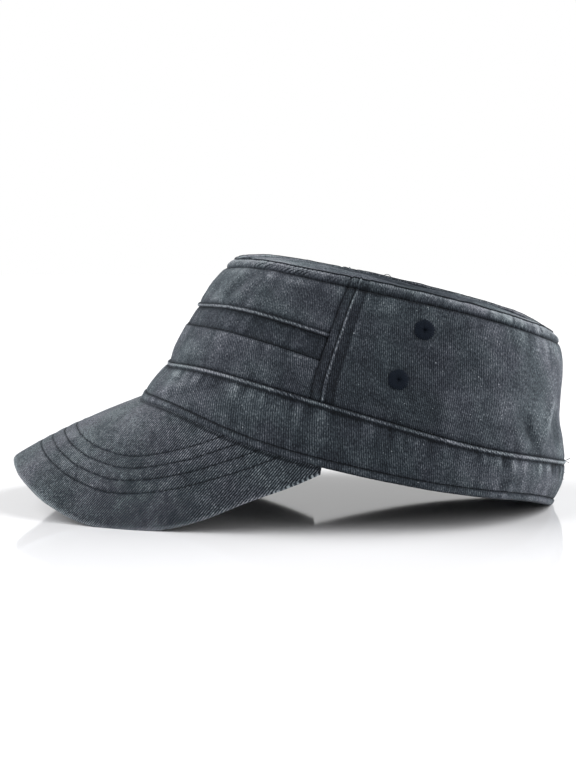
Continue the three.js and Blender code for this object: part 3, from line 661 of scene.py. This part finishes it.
# %% Visor
VISOR_LENGTH = 53.2
VISOR_DROP = 53.5
VISOR_THICKNESS = 2.8
VISOR_CORNER = math.radians(83.2)
VISOR_EDGE = table(
    "along side ahead drop",
    (-0.15, -0.355, 0.865, 0.833), (0.0, 0.0, 0.99, 0.815), (0.15, 0.355, 0.865, 0.833),
    (0.227, 0.492, 0.71, 0.889), (0.301, 0.61, 0.515, 0.944), (0.42, 0.756, 0.145, 0.981),
    (0.522, 0.845, -0.2, 0.921), (0.613, 0.9, -0.508, 0.823), (0.71, 0.938, -0.816, 0.648),
    (0.816, 0.962, -1.13, 0.411), (0.917, 0.972, -1.438, 0.2), (1.0, 0.976, -1.66, 0.03),
)
# Distance of the outer row of stitching from the edge, and from each row to the next.
VISOR_ROWS = table(
    "turn first apart",
    (0, 15.7, 6.5), (0.2, 15.9, 6.2), (0.3, 16.2, 6.3), (0.4, 16.9, 6.5), (0.5, 17.9, 6.9),
    (0.6, 19.5, 7.2), (0.7, 19.4, 7.4), (0.8, 17.2, 7.5), (0.9, 16.5, 7.5),
)


def ends_thin(turn):
    """The board is left out of the last bit of both ends, so they are only two cloths thick."""
    return np.sqrt(np.clip((1 - np.abs(turn)) / 0.06, 0.06, 1))


def visor_reach(turn):
    """Root and outer edge of the visor at a turn from -1 to 1."""
    angle = turn * VISOR_CORNER
    root = form_point(np.zeros_like(angle), angle)
    inward = -root * (1, 1, 0)
    inward /= np.linalg.norm(inward, axis=-1, keepdims=True)
    root = root + inward * 1.5
    along = np.abs(turn)
    edge = np.stack([
        np.sign(turn) * curve(VISOR_EDGE, "along", "side", along) * HALF_WIDTH,
        -HALF_LENGTH - curve(VISOR_EDGE, "along", "ahead", along) * VISOR_LENGTH,
        -curve(VISOR_EDGE, "along", "drop", along) * VISOR_DROP], -1)
    edge[..., 2] = np.minimum(edge[..., 2], root[..., 2] - 1.5)
    fall = edge - root
    flatness = np.linalg.norm(fall[..., :2], axis=-1) / np.linalg.norm(fall, axis=-1)
    root[..., 2] += 0.5 - flatness * ends_thin(turn) * VISOR_THICKNESS / 2
    return root, edge, inward


def visor_point(turn, across):
    root, edge, inward = visor_reach(turn)
    reach = np.linalg.norm(edge - root, axis=-1)
    swell = 2.2 * 4 * across * (1 - across) * np.minimum(1, reach / VISOR_LENGTH)
    point = root + (edge - root) * across[..., None] - inward * (swell * 0.6)[..., None]
    point[..., 2] += swell * 0.8 * (1 - np.abs(turn))
    return point


def visor_normal(turn, across):
    t, a = np.clip(turn, -0.99, 0.99), np.clip(across, 0.01, 0.99)
    along = visor_point(t + 0.01, a) - visor_point(t - 0.01, a)
    outward = visor_point(t, a + 0.01) - visor_point(t, a - 0.01)
    normal = np.cross(outward, along)
    return normal / np.linalg.norm(normal, axis=-1, keepdims=True)


VISOR_SECTION = table(
    "across by face fade cells",
    (0, 0, 1, 0.53, 90), (1, -2.6, 1, 0.48, 5), (1, -1.2, 0.96, 0.66, 2),
    (1, -0.5, 0.75, 0.82, 2), (1, -0.15, 0.3, 0.72, 2), (1, -0.15, -0.3, 0.34, 2),
    (1, -0.45, -0.75, 0.3, 2), (1, -1.0, -0.96, 0.4, 5), (1, -3.0, -1, 0.42, 24),
    (0, 0, -1, 0.3, 1),
)
ROWS_OF_STITCHES = 4
GROOVE_WIDE, GROOVE_DEEP, GROOVE_FADE, QUILT_HIGH = 0.38, 0.22, 0.32, 0.12
# Half the way round the visor's outline, and the level of the centre of its arch.
HALF_OUTLINE, ARCH_MIDDLE = 205, 8


def visor_rows(columns):
    """Points, weave coordinates, wash and painted shade of the visor, from its upper face round to
    its lower.
    """
    at, low, share = cells_between(VISOR_SECTION)
    turn = np.broadcast_to(np.linspace(-1, 1, columns + 1), (len(at), columns + 1))
    root, edge, _ = visor_reach(turn)
    reach = np.linalg.norm(edge - root, axis=-1)
    key = {name: np.array([[row[name]] for row in VISOR_SECTION], float)
           for name in ("across", "by", "face", "fade")}
    place = key["across"] + np.maximum(key["by"] / reach[:1], -0.25)
    across, face, fade = (
        values[low] * (1 - share) + values[low + 1] * share
        for values in (place, key["face"], key["fade"]))
    off_edge = (1 - across) * reach
    off = np.abs(turn)
    first = level_curve(VISOR_ROWS, "turn", "first", off)
    apart = level_curve(VISOR_ROWS, "turn", "apart", off)
    count = (off_edge - first) / apart
    nearest = np.clip(np.rint(count), 0, ROWS_OF_STITCHES - 1)
    away = (count - nearest) * apart
    groove = np.exp(-((away / GROOVE_WIDE) ** 2))
    run = turn * HALF_OUTLINE
    pull = 0.7 * wander(run / 3.1 + 200, 900, 61) + 0.5 * wander(run / 1.7 + 400, 900, 62)
    among = (count > -0.5) & (count < ROWS_OF_STITCHES - 0.5)
    quilt = QUILT_HIGH * np.cos(2 * math.pi * count) * among
    out = -GROOVE_DEEP * groove - quilt + 0.06 * pull * np.exp(-np.abs(away) / 1.8)
    out = out + 0.12 * wander(run / 14 + 100, 300, 63) * wander(across * 7 + 20, 60, 64)
    outward = np.where(np.abs(face) > 0.9, np.sign(face), 0)
    points = visor_point(turn, across)
    points = points + visor_normal(turn, across) * (
        face * ends_thin(turn) * VISOR_THICKNESS / 2 + outward * out)[..., None]
    fade = fade - GROOVE_FADE * groove + 0.08 * pull * np.exp(-np.abs(away) / 1.5)
    # Partly wash and partly painted light from above: the middle of the visor, most near the rim,
    # is paler, and the sides where it turns down are darker.
    fade = fade + 0.22 * np.exp(-((turn / 0.34) ** 2)) * (1.1 - 0.6 * across)
    fade = fade - 0.05 * np.clip((np.abs(turn) - 0.25) / 0.2, 0, 1)
    # Painted shade: a dark line across the visor just in front of the rim, under the rim welt.
    fade = fade - 0.35 * np.exp(-((across * reach - 1.4) / 0.7) ** 2)
    aside, ahead = unrolled(points)
    return points, np.stack([aside, ahead], -1), fade


def unrolled(points):
    """Flat coordinates of points on the visor, which is bent like an arch about its ridge."""
    ends = visor_point(np.zeros(2), np.array([0.0, 1.0]))
    tilt = math.atan2(ends[0, 2] - ends[1, 2], ends[0, 1] - ends[1, 1])
    arch = visor_point(np.linspace(-1, 1, 401), np.full(401, 0.5))
    lift = [p[..., 2] * math.cos(tilt) - p[..., 1] * math.sin(tilt) for p in (points, arch)]
    bend = np.arctan2(points[..., 0], lift[0] - ARCH_MIDDLE)
    arch_bend = np.arctan2(arch[:, 0], lift[1] - ARCH_MIDDLE)
    way = length_along(np.stack([arch[:, 0], lift[1]], -1))
    aside = np.interp(bend, arch_bend, way - way[len(way) // 2])
    return aside, points[..., 1] * math.cos(tilt) + points[..., 2] * math.sin(tilt)


pieces["visor"] = lay_cloth("visor_cloth", *visor_rows(560))

# %% [markdown]
# ## Eyelets
# Each side of the back has two vent holes, whipped round with thick dark thread. The hole is
# cut through the cloth, and the ring is a flattened torus with a small hump for each turn of
# the thread. One ring is modelled and copied to four places.

# %% Cut the vent holes and lay the sewn rings
EYELETS = table("name angle up", ("upper", 96, 68.2), ("lower", 92.7, 46.2))
RING_RADIUS, RING_THICK, RING_FLAT = 2.35, 2.25, 0.34
HOLE_RADIUS = 3.1
TURNS_OF_THREAD = 26


def spot_on_cloth(up, angle):
    """Place and three directions on the cloth: along, up and out."""
    up, angle = np.array([up], float), np.array([angle], float)
    out = form_normal(up, angle)[0]
    place = form_point(up, angle)[0] + out * relief(up, angle)[0]
    along = np.cross((0, 0, 1), out)
    along /= np.linalg.norm(along)
    return place, along, np.cross(out, along), out


def copy_to_spot(model, name, spot):
    """A copy of a model made round the origin, in millimetres, laid at a spot on the cloth."""
    piece = model.copy()
    piece.data = model.data.copy()
    piece.name = piece.data.name = name
    bpy.context.scene.collection.objects.link(piece)
    place, along, rise, out = spot
    made = np.array([vertex.co for vertex in piece.data.vertices])
    laid = place + made[:, :1] * along + made[:, 1:2] * rise + made[:, 2:] * out
    piece.data.vertices.foreach_set("co", at_rest(laid).astype(np.float32).ravel())
    piece.data.update()
    return piece


bpy.ops.mesh.primitive_torus_add(
    major_segments=TURNS_OF_THREAD * 6, minor_segments=14, major_radius=RING_RADIUS,
    minor_radius=RING_THICK)
ring = bpy.context.object
made = np.array([vertex.co for vertex in ring.data.vertices])
turn = np.arctan2(made[:, 1], made[:, 0])
hump = np.abs(np.cos(turn * TURNS_OF_THREAD / 2)) ** 0.7
uneven = 0.10 * wander(turn * 9 / math.pi + 9, 18, 71)
centre = np.stack([RING_RADIUS * np.cos(turn), RING_RADIUS * np.sin(turn), 0 * turn], -1)
made = centre + (made - centre) * (0.86 + 0.16 * hump + uneven)[:, None] * (1, 1, RING_FLAT)
made[:, 2] += 0.25
ring.data.vertices.foreach_set("co", made.astype(np.float32).ravel())
bpy.ops.object.shade_smooth()
bpy.ops.mesh.primitive_cylinder_add(vertices=32, radius=HOLE_RADIUS, depth=9)
bit = bpy.context.object

drills = []
for side, hand in ((1, "left"), (-1, "right")):
    for eyelet in EYELETS:
        spot = spot_on_cloth(eyelet["up"], side * math.radians(eyelet["angle"]))
        name = f"eyelet_{hand}_{eyelet['name']}"
        drills.append(copy_to_spot(bit, "drill", spot))
        pieces[name] = copy_to_spot(ring, name + "_thread", spot)
for model in (ring, bit):
    bpy.data.objects.remove(model)
bpy.ops.object.select_all(action="DESELECT")
for drill in drills:
    drill.select_set(True)
bpy.context.view_layer.objects.active = drills[0]
bpy.ops.object.join()
drill = bpy.context.object
back = pieces["back_panel"]
cut = back.modifiers.new("vent holes", "BOOLEAN")
cut.operation = "DIFFERENCE"
cut.solver = "EXACT"
cut.object = drill
bpy.ops.object.select_all(action="DESELECT")
bpy.context.view_layer.objects.active = back
back.select_set(True)
bpy.ops.object.modifier_apply(modifier=cut.name)
bpy.data.objects.remove(drill)
print("back panel with its vent holes:", len(back.data.polygons), "faces")

# %% [markdown]
# ## Stitching
# Every seam is sewn with thick dark thread, nine stitches to the inch. One stitch is a
# small rounded grain, and a row of it follows the seam, each stitch laid on the cloth right
# under it and sunk at both ends. A little unevenness keeps the row from looking printed.

# %% Sew the rows
STITCH_SIZE = (0.42, 0.4, 2.3)
bpy.ops.mesh.primitive_uv_sphere_add(segments=6, ring_count=5, radius=0.5)
grain = bpy.context.object
bpy.ops.object.mode_set(mode="EDIT")
bpy.ops.transform.resize(value=STITCH_SIZE)
bpy.ops.object.mode_set(mode="OBJECT")
GRAIN_POINTS = np.array([vertex.co for vertex in grain.data.vertices])
GRAIN_FACES = [list(face.vertices) for face in grain.data.polygons]
bpy.data.objects.remove(grain)


def sew(name, lines, cloth, seed, sink=0.05):
    """One piece of stitching: a stitch at each step along the lines, laid on the cloth."""
    skin = BVHTree.FromObject(cloth, bpy.context.evaluated_depsgraph_get())
    shaky = np.random.default_rng(seed)
    points, faces = [], []
    for line in lines:
        placed = at_rest(line)
        far = length_along(placed)
        for at in np.arange(0.5, far[-1] / (STITCH_STEP * MM)) * STITCH_STEP * MM:
            here = np.array([np.interp(at, far, placed[:, k]) for k in range(3)])
            ahead = np.array([np.interp(at + 0.0005, far, placed[:, k]) for k in range(3)])
            spot, out, _, _ = skin.find_nearest(Vector(here))
            spot, out = np.array(spot), np.array(out)
            along = ahead - here
            along = along - out * (along @ out)
            along /= max(np.linalg.norm(along), 1e-9)
            side = np.cross(out, along)
            along = along + side * shaky.normal(0, 0.05)
            size = MM * shaky.uniform(0.9, 1.08)
            grown = GRAIN_POINTS * size
            made = spot - out * sink * MM + (
                grown[:, :1] * side + grown[:, 1:2] * out + grown[:, 2:] * along)
            made[:, 2] = np.maximum(made[:, 2], 0)
            start = len(points)
            points += made.tolist()
            faces += [[start + corner for corner in face] for face in GRAIN_FACES]
    mesh = bpy.data.meshes.new(name)
    mesh.from_pydata(points, [], faces)
    rows = bpy.data.objects.new(name, mesh)
    bpy.context.scene.collection.objects.link(rows)
    mesh.shade_smooth()
    print(f"{name}: {len(points) // len(GRAIN_POINTS)} stitches")
    return rows


def line_round(ring, by, turn, out=0.0):
    up = place_along(ring, by, turn)
    return form_point(up, turn) + form_normal(up, turn) * (out + relief(up, turn))[..., None]


def line_up(off, low, high):
    """Upright line beside both side seams, `off` millimetres behind the seam's middle."""
    up = np.linspace(low, high, 120)
    lines = []
    for side in (1, -1):
        turn = np.full_like(up, side * (SEAM_ANGLE + off / SEAM_RADIUS))
        lines.append(form_point(up, turn) + form_normal(up, turn) * 0.4)
    return lines


round_turn = full_turn(1440)
left_line, right_line = line_up(1.7, 26, 83)
stitching = {
    "band_stitching": ("band", [line_round("seam", -1.45, round_turn)]),
    "rim_stitching": ("band", [line_round("hem", 0.1, round_turn)]),
    "strip_foot_stitching": ("front_strip", [line_round("strip_foot", 0.8, front_turn)]),
    "strip_head_stitching": ("front_panel_upper", [line_round("strip_head", 1.35, front_turn)]),
    "welt_stitching": ("crown_top", [line_round("welt", 0.3, round_turn)]),
    "top_stitching": ("crown_top", [line_round("bevel", -2.0, round_turn)]),
    "side_seam_left_stitching": ("side_seam_left", [left_line]),
    "side_seam_right_stitching": ("side_seam_right", [right_line]),
}
for seed, (name, (node, lines)) in enumerate(stitching.items()):
    pieces[name] = sew(name, lines, pieces[node], seed + 100)

visor_turn = np.linspace(-1, 1, 1201)
root, edge, _ = visor_reach(visor_turn)
first, apart = (
    level_curve(VISOR_ROWS, "turn", column, np.abs(visor_turn)) for column in ("first", "apart"))
visor_lines = []
for row in range(ROWS_OF_STITCHES):
    across = 1 - (first + row * apart) / np.linalg.norm(edge - root, axis=-1)
    place = visor_turn[across > 0], across[across > 0]
    for face in (1, -1):
        visor_lines.append(
            visor_point(*place) + visor_normal(*place) * face * VISOR_THICKNESS / 2)
pieces["visor_stitching"] = sew("visor_stitching", visor_lines, pieces["visor"], 140, sink=0.0)

# %% [markdown]
# ## Loose threads
# Sewing leaves a few ends: a small loop stands up on the far edge of the top, and short ends
# stick out where the seams meet at the back. Each is a thin round thread, bent by its own few
# points, which are given in millimetres along, up and out of the cloth at one spot.

# %% Loose thread ends
THREAD_RADIUS = 0.16
LOOSE_THREADS = table(
    "angle up bends",
    (-90, 84, ((-2.2, 0, 0.9), (-1.8, 0.3, 2.2), (0, 0.6, 3.1), (1.6, 0.3, 2.4), (2.2, 0, 0.9))),
    (176, 25.2, ((0, 0, -0.3), (0.3, -0.4, 1.2), (0.2, -1.2, 2.2), (0.4, -1.1, 3.1))),
    (174, 25.0, ((0, 0, -0.3), (0.2, 0.5, 1.0), (0.4, 0.9, 2.0), (0.2, 1.6, 2.6))),
    (176, 18.6, ((0, 0, -0.3), (0.2, 0.2, 0.8), (0.3, 0.1, 1.7))),
    (175, 15.4, ((0, 0, -0.3), (0.2, -0.3, 0.7), (0.1, -0.4, 1.5))),
    (175, 1.2, ((0, 0, -0.3), (0.3, -0.4, 0.7), (0.2, -0.7, 1.5))),
    (-172, 24.8, ((0, 0, -0.3), (-0.3, 0.2, 0.9), (-0.4, 0.7, 1.9))),
)
ends = []
for loose in LOOSE_THREADS:
    place, along, rise, out = spot_on_cloth(loose["up"], math.radians(loose["angle"]))
    bends = np.array(loose["bends"])
    path = at_rest(place + bends[:, :1] * along + bends[:, 1:2] * rise + bends[:, 2:] * out)
    bpy.ops.curve.primitive_nurbs_path_add()
    end = bpy.context.object
    line = end.data.splines[0]
    if len(line.points) < len(path):
        line.points.add(len(path) - len(line.points))
    spare = path[[-1] * (len(line.points) - len(path))]
    for point, at in zip(line.points, np.concatenate([path, spare])):
        point.co = (*at, 1)
    end.data.bevel_depth = THREAD_RADIUS * MM
    end.data.bevel_resolution = 1
    end.data.use_fill_caps = True
    ends.append(end)
bpy.ops.object.select_all(action="DESELECT")
for end in ends:
    end.select_set(True)
bpy.context.view_layer.objects.active = ends[0]
bpy.ops.object.convert(target="MESH")
bpy.ops.object.join()
pieces["loose_threads"] = bpy.context.object
pieces["loose_threads"].name = pieces["loose_threads"].data.name = "loose_threads"
print("loose thread ends:", len(LOOSE_THREADS))

# %% [markdown]
# ## Washed twill
# The cloth is heavy cotton twill, dyed grey-black and washed with stones. Twill has fine ribs
# about 0.9 mm apart, drawn at 1 mm so that they show, and the wash leaves clouds, pale worn
# ridges and deep colour in the seams, where painted shade darkens it further. All of that is
# one value, how pale the cloth is: it starts from the piece's own value, which also holds
# painted light and shade, takes in clouds and ribs, and picks a colour on one ramp from new
# cloth to worn cloth.

# %% Colours and a helper for nodes
def linear(code):
    """A colour written as sRGB hex, turned to the linear values that the shader takes."""
    parts = [int(code[i:i + 2], 16) / 255 for i in (1, 3, 5)]
    return [p / 12.92 if p <= 0.04045 else ((p + 0.055) / 1.055) ** 2.4 for p in parts] + [1]


def add(tree, kind, settings=None, ramp=None, **links):
    """One node: settings are its properties or sockets, `ramp` its hex colours by place, and
    links come from other nodes, by a socket's name or by _ and its number."""
    node = tree.nodes.new(kind)
    for name, value in (settings or {}).items():
        if isinstance(name, str) and hasattr(node, name):
            setattr(node, name, value)
        else:
            node.inputs[name].default_value = value
    if ramp:
        stops = node.color_ramp.elements
        for place, _ in ramp[1:-1]:
            stops.new(place)
        for stop, (place, code) in zip(stops, ramp):
            stop.position, stop.color = place, linear(code)
    for name, source in links.items():
        socket = node.inputs[int(name[1:])] if name[1:].isdigit() else node.inputs[name]
        tree.links.new(source, socket)
    return node


def new_material(name):
    material = bpy.data.materials.new(name)
    material.use_nodes = True
    material.node_tree.nodes.clear()
    return material, material.node_tree


def finish_surface(tree, colour, grain, rough, height, relief, settings):
    """The end of every finish. `rough` is the least roughness and what the grain adds to it,
    `relief` the depth of the height in metres and how strongly it shows."""
    roughness = add(
        tree, "ShaderNodeMath", {"operation": "MULTIPLY_ADD", 1: rough[1], 2: rough[0]}, _0=grain)
    bump = add(
        tree, "ShaderNodeBump", {"Distance": relief[0], "Strength": relief[1]}, Height=height)
    shader = add(tree, "ShaderNodeBsdfPrincipled", settings, Normal=bump.outputs[0],
                 Roughness=roughness.outputs[0], **{"Base Color": colour})
    add(tree, "ShaderNodeOutputMaterial", Surface=shader.outputs[0])


# %% Washed twill
# Soft patches lean a little to green, others a little to violet, as dye and wash leave them.
TINT_RAMP = ((0.0, "#f3fffd"), (0.42, "#f9fffd"), (0.6, "#fffcff"), (1.0, "#fff8ff"))
CROWN_RAMP = (
    (0.0, "#0a0d11"), (0.25, "#1a1e24"), (0.5, "#30353b"), (0.75, "#54595f"), (1.0, "#8b8f94"))
STRIP_RAMP = (
    (0.0, "#090c10"), (0.25, "#181d23"), (0.5, "#2e3339"), (0.75, "#51565c"), (1.0, "#888c91"))
# Spots to the millimetre, detail and roughness of each pattern in the cloth. The yarns and the
# nap on them are fine, and the wash leaves its clouds and tints as large as a thumb.
PATTERNS = table(
    "name spots detail roughness",
    ("yarns", 1.7, 1, 0.5), ("nap", 1.3, 2, 0.5), ("wash clouds", 1 / 13, 4, 0.6),
    ("worn patches", 1 / 3.2, 2, 0.5), ("flecks", 0.8, 0, 0.5), ("tints", 1 / 28, 3, 0.5))


def washed_twill(name, ramp, rib_mm=1.0, rib_degrees=0, rib_share=0.28, yarn_share=0.8,
                 sheen=0.06):
    material, tree = new_material(name)
    # The weave coordinates are metres of cloth, and the patterns are drawn in millimetres.
    chart = add(tree, "ShaderNodeUVMap", {"uv_map": "weave"})
    cloth = add(tree, "ShaderNodeMapping", {"Scale": (1000, 1000, 1000)}, Vector=chart.outputs[0])
    turned = add(tree, "ShaderNodeMapping",
                 {"Rotation": (0, 0, math.radians(rib_degrees))}, Vector=cloth.outputs[0])
    # A band texture repeats every 2 pi / 20 of its scale, so this is one rib each rib_mm.
    ribs = add(tree, "ShaderNodeTexWave", {
        "bands_direction": "X", "Scale": 2 * math.pi / 20 / rib_mm, "Distortion": 1.8,
        "Detail": 2, "Detail Scale": 2.2}, Vector=turned.outputs[0])
    long_way = add(tree, "ShaderNodeMapping", {"Scale": (1.0, 0.5, 1)}, Vector=turned.outputs[0])
    made = {"ribs": ribs.outputs["Fac"]}
    for row in PATTERNS:
        source = long_way if row["name"] == "yarns" else cloth
        made[row["name"]] = add(tree, "ShaderNodeTexNoise", {
            "Scale": row["spots"], "Detail": row["detail"], "Roughness": row["roughness"]},
            Vector=source.outputs[0]).outputs["Fac"]
    shares = {"wash clouds": 0.5, "worn patches": 0.3, "nap": 0.5, "yarns": yarn_share,
              "ribs": rib_share}
    level = add(tree, "ShaderNodeAttribute", {"attribute_name": "fade"}).outputs["Fac"]
    for pattern, share in shares.items():
        centred = add(
            tree, "ShaderNodeMath", {"operation": "SUBTRACT", 1: 0.5}, _0=made[pattern])
        level = add(tree, "ShaderNodeMath", {"operation": "MULTIPLY_ADD", 1: share},
                    _0=centred.outputs[0], _2=level).outputs[0]
    # Here and there a fibre end took no dye and shows as a tiny pale fleck.
    fleck = add(tree, "ShaderNodeMapRange", {"From Min": 0.83, "From Max": 0.88, "To Max": 0.6},
                Value=made["flecks"])
    level = add(tree, "ShaderNodeMath", {"operation": "ADD"}, _0=fleck.outputs[0], _1=level)
    paleness = add(tree, "ShaderNodeValToRGB", ramp=ramp, Fac=level.outputs[0])
    tint = add(tree, "ShaderNodeValToRGB", ramp=TINT_RAMP, Fac=made["tints"])
    colour = add(tree, "ShaderNodeMixRGB", {"blend_type": "MULTIPLY", "Fac": 1},
                 Color1=paleness.outputs["Color"], Color2=tint.outputs["Color"])
    height = add(tree, "ShaderNodeMath", {"operation": "MULTIPLY_ADD", 1: 0.6},
                 _0=made["yarns"], _2=made["ribs"])
    # Cotton has no gloss: rough, with a weak sheen from its loose fibres.
    soft_light = {
        "Specular IOR Level": 2 * sheen, "Sheen Weight": sheen, "Sheen Roughness": 0.45,
        "Sheen Tint": (0.80, 0.86, 0.92, 1)}
    finish_surface(tree, colour.outputs["Color"], made["nap"], (0.8, 0.2), height.outputs[0],
                   (0.0002, 0.55), soft_light)
    return material


crown_twill = washed_twill("stone-washed cotton twill, crown", CROWN_RAMP)
# The strip lay deeper in the wash, so all its tones are a little darker.
strip_twill = washed_twill("stone-washed cotton twill, strip", STRIP_RAMP)
# The top is rubbed flat, so few loose fibres stand up to catch light along its surface.
top_twill = washed_twill("stone-washed cotton twill, top", CROWN_RAMP, sheen=0.01)
# On the visor the cloth is stretched over a board, so its ribs stand out and run aslant.
visor_twill = washed_twill(
    "stone-washed cotton twill, visor", CROWN_RAMP, rib_degrees=-26, rib_share=0.58,
    yarn_share=0.75)
print("twills:", sum("twill" in material.name for material in bpy.data.materials))

# %% [markdown]
# ## Thread
# Polyester-wrapped cotton thread, dyed with the cloth but hardly washed out, so it stays almost
# black. It has a slightly smoother shine than the cloth. Its twist is too fine to show, so it is
# drawn about twice as coarse, as spots of 0.7 mm.

# %% Thread
def dyed_thread(name, ramp, gloss):
    material, tree = new_material(name)
    spot = add(tree, "ShaderNodeTexCoord")
    twist = add(tree, "ShaderNodeTexNoise", {"Scale": 1400, "Detail": 2},
                Vector=spot.outputs["Object"]).outputs["Fac"]
    tone = add(tree, "ShaderNodeValToRGB", ramp=ramp, Fac=twist)
    finish_surface(tree, tone.outputs["Color"], twist, (0.7, 0.2), twist, (0.0001, 0.4),
                   {"Specular IOR Level": gloss})
    return material


thread = dyed_thread("dyed sewing thread", ((0, "#080b0e"), (1, "#171b20")), 0.15)
# Whipped close round a hole, the turns shade each other, so hardly any shine is left.
eyelet_thread = dyed_thread(
    "dyed eyelet thread, whipped close", ((0, "#0a0e14"), (1, "#171d26")), 0.05)
print("threads:", thread.name, "and", eyelet_thread.name)

# %% Dress each piece and hand it to the frame
DRESS = {
    "front_strip": ("strip_twill", strip_twill), "visor": ("visor_twill", visor_twill),
    "crown_top": ("crown_twill", top_twill)}
for name, piece in pieces.items():
    slot, material = DRESS.get(name, ("crown_twill", crown_twill))
    if name.startswith("eyelet"):
        slot, material = "eyelet_thread", eyelet_thread
    elif name.endswith(("stitching", "threads")):
        slot, material = "eyelet_thread", thread
    piece.data.materials.clear()
    piece.data.materials.append(material)
    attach(piece, "root")
    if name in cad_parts:
        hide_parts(name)
print("pieces:", len(pieces))

# %% [markdown]
# ## Table and light
# A plain white acrylic sheet, as in a small product studio: cast smooth, so it mirrors the cap
# softly, with a faint unevenness that keeps the mirror from being perfect. Light comes from a
# white surround and from two broad soft lights at the two ends, the one at the back stronger.

# %% Table
bpy.ops.mesh.primitive_plane_add(size=6, location=(0, 0, 0))
floor = bpy.context.object
floor.name = "table"
sheet, tree = new_material("glossy white acrylic sheet")
grain = add(tree, "ShaderNodeTexNoise", {"Scale": 3, "Detail": 2}).outputs["Fac"]
tone = add(tree, "ShaderNodeValToRGB", ramp=((0, "#f3f3f5"), (1, "#f9f9fb")), Fac=grain)
finish_surface(tree, tone.outputs["Color"], grain, (0.055, 0.03), grain, (0.001, 0.02),
               {"Specular IOR Level": 0.5})
floor.data.materials.append(sheet)
print("table:", sheet.name)

# %% Light
LIGHTS = table(
    "name from_place angle strength",
    ("front_softbox", (0.05, -1.0, 0.65), 70, 3.7),
    ("back_softbox", (0.05, 1.0, 0.55), 70, 4.9),
)
for row in LIGHTS:
    bpy.ops.object.light_add(type="SUN", location=row["from_place"])
    lamp = bpy.context.object
    lamp.name = row["name"]
    lamp.data.angle = math.radians(row["angle"])
    lamp.data.energy = row["strength"]
    lamp.rotation_euler = (-lamp.location).to_track_quat("-Z", "Y").to_euler()
world = bpy.data.worlds.new("white surround")
world.use_nodes = True
tree = world.node_tree
tree.nodes.clear()
seen = add(tree, "ShaderNodeBackground", {"Strength": 1.0})
fill = add(tree, "ShaderNodeBackground", {"Strength": 0.15})
seen.inputs["Color"].default_value = fill.inputs["Color"].default_value = (1, 1, 1, 1)
ray = add(tree, "ShaderNodeLightPath")
surround = add(tree, "ShaderNodeMixShader", _0=ray.outputs["Is Diffuse Ray"],
               _1=seen.outputs[0], _2=fill.outputs[0])
add(tree, "ShaderNodeOutputWorld", Surface=surround.outputs[0])
bpy.context.scene.world = world
bpy.context.scene.view_settings.view_transform = "Standard"
print("lights:", len(LIGHTS))
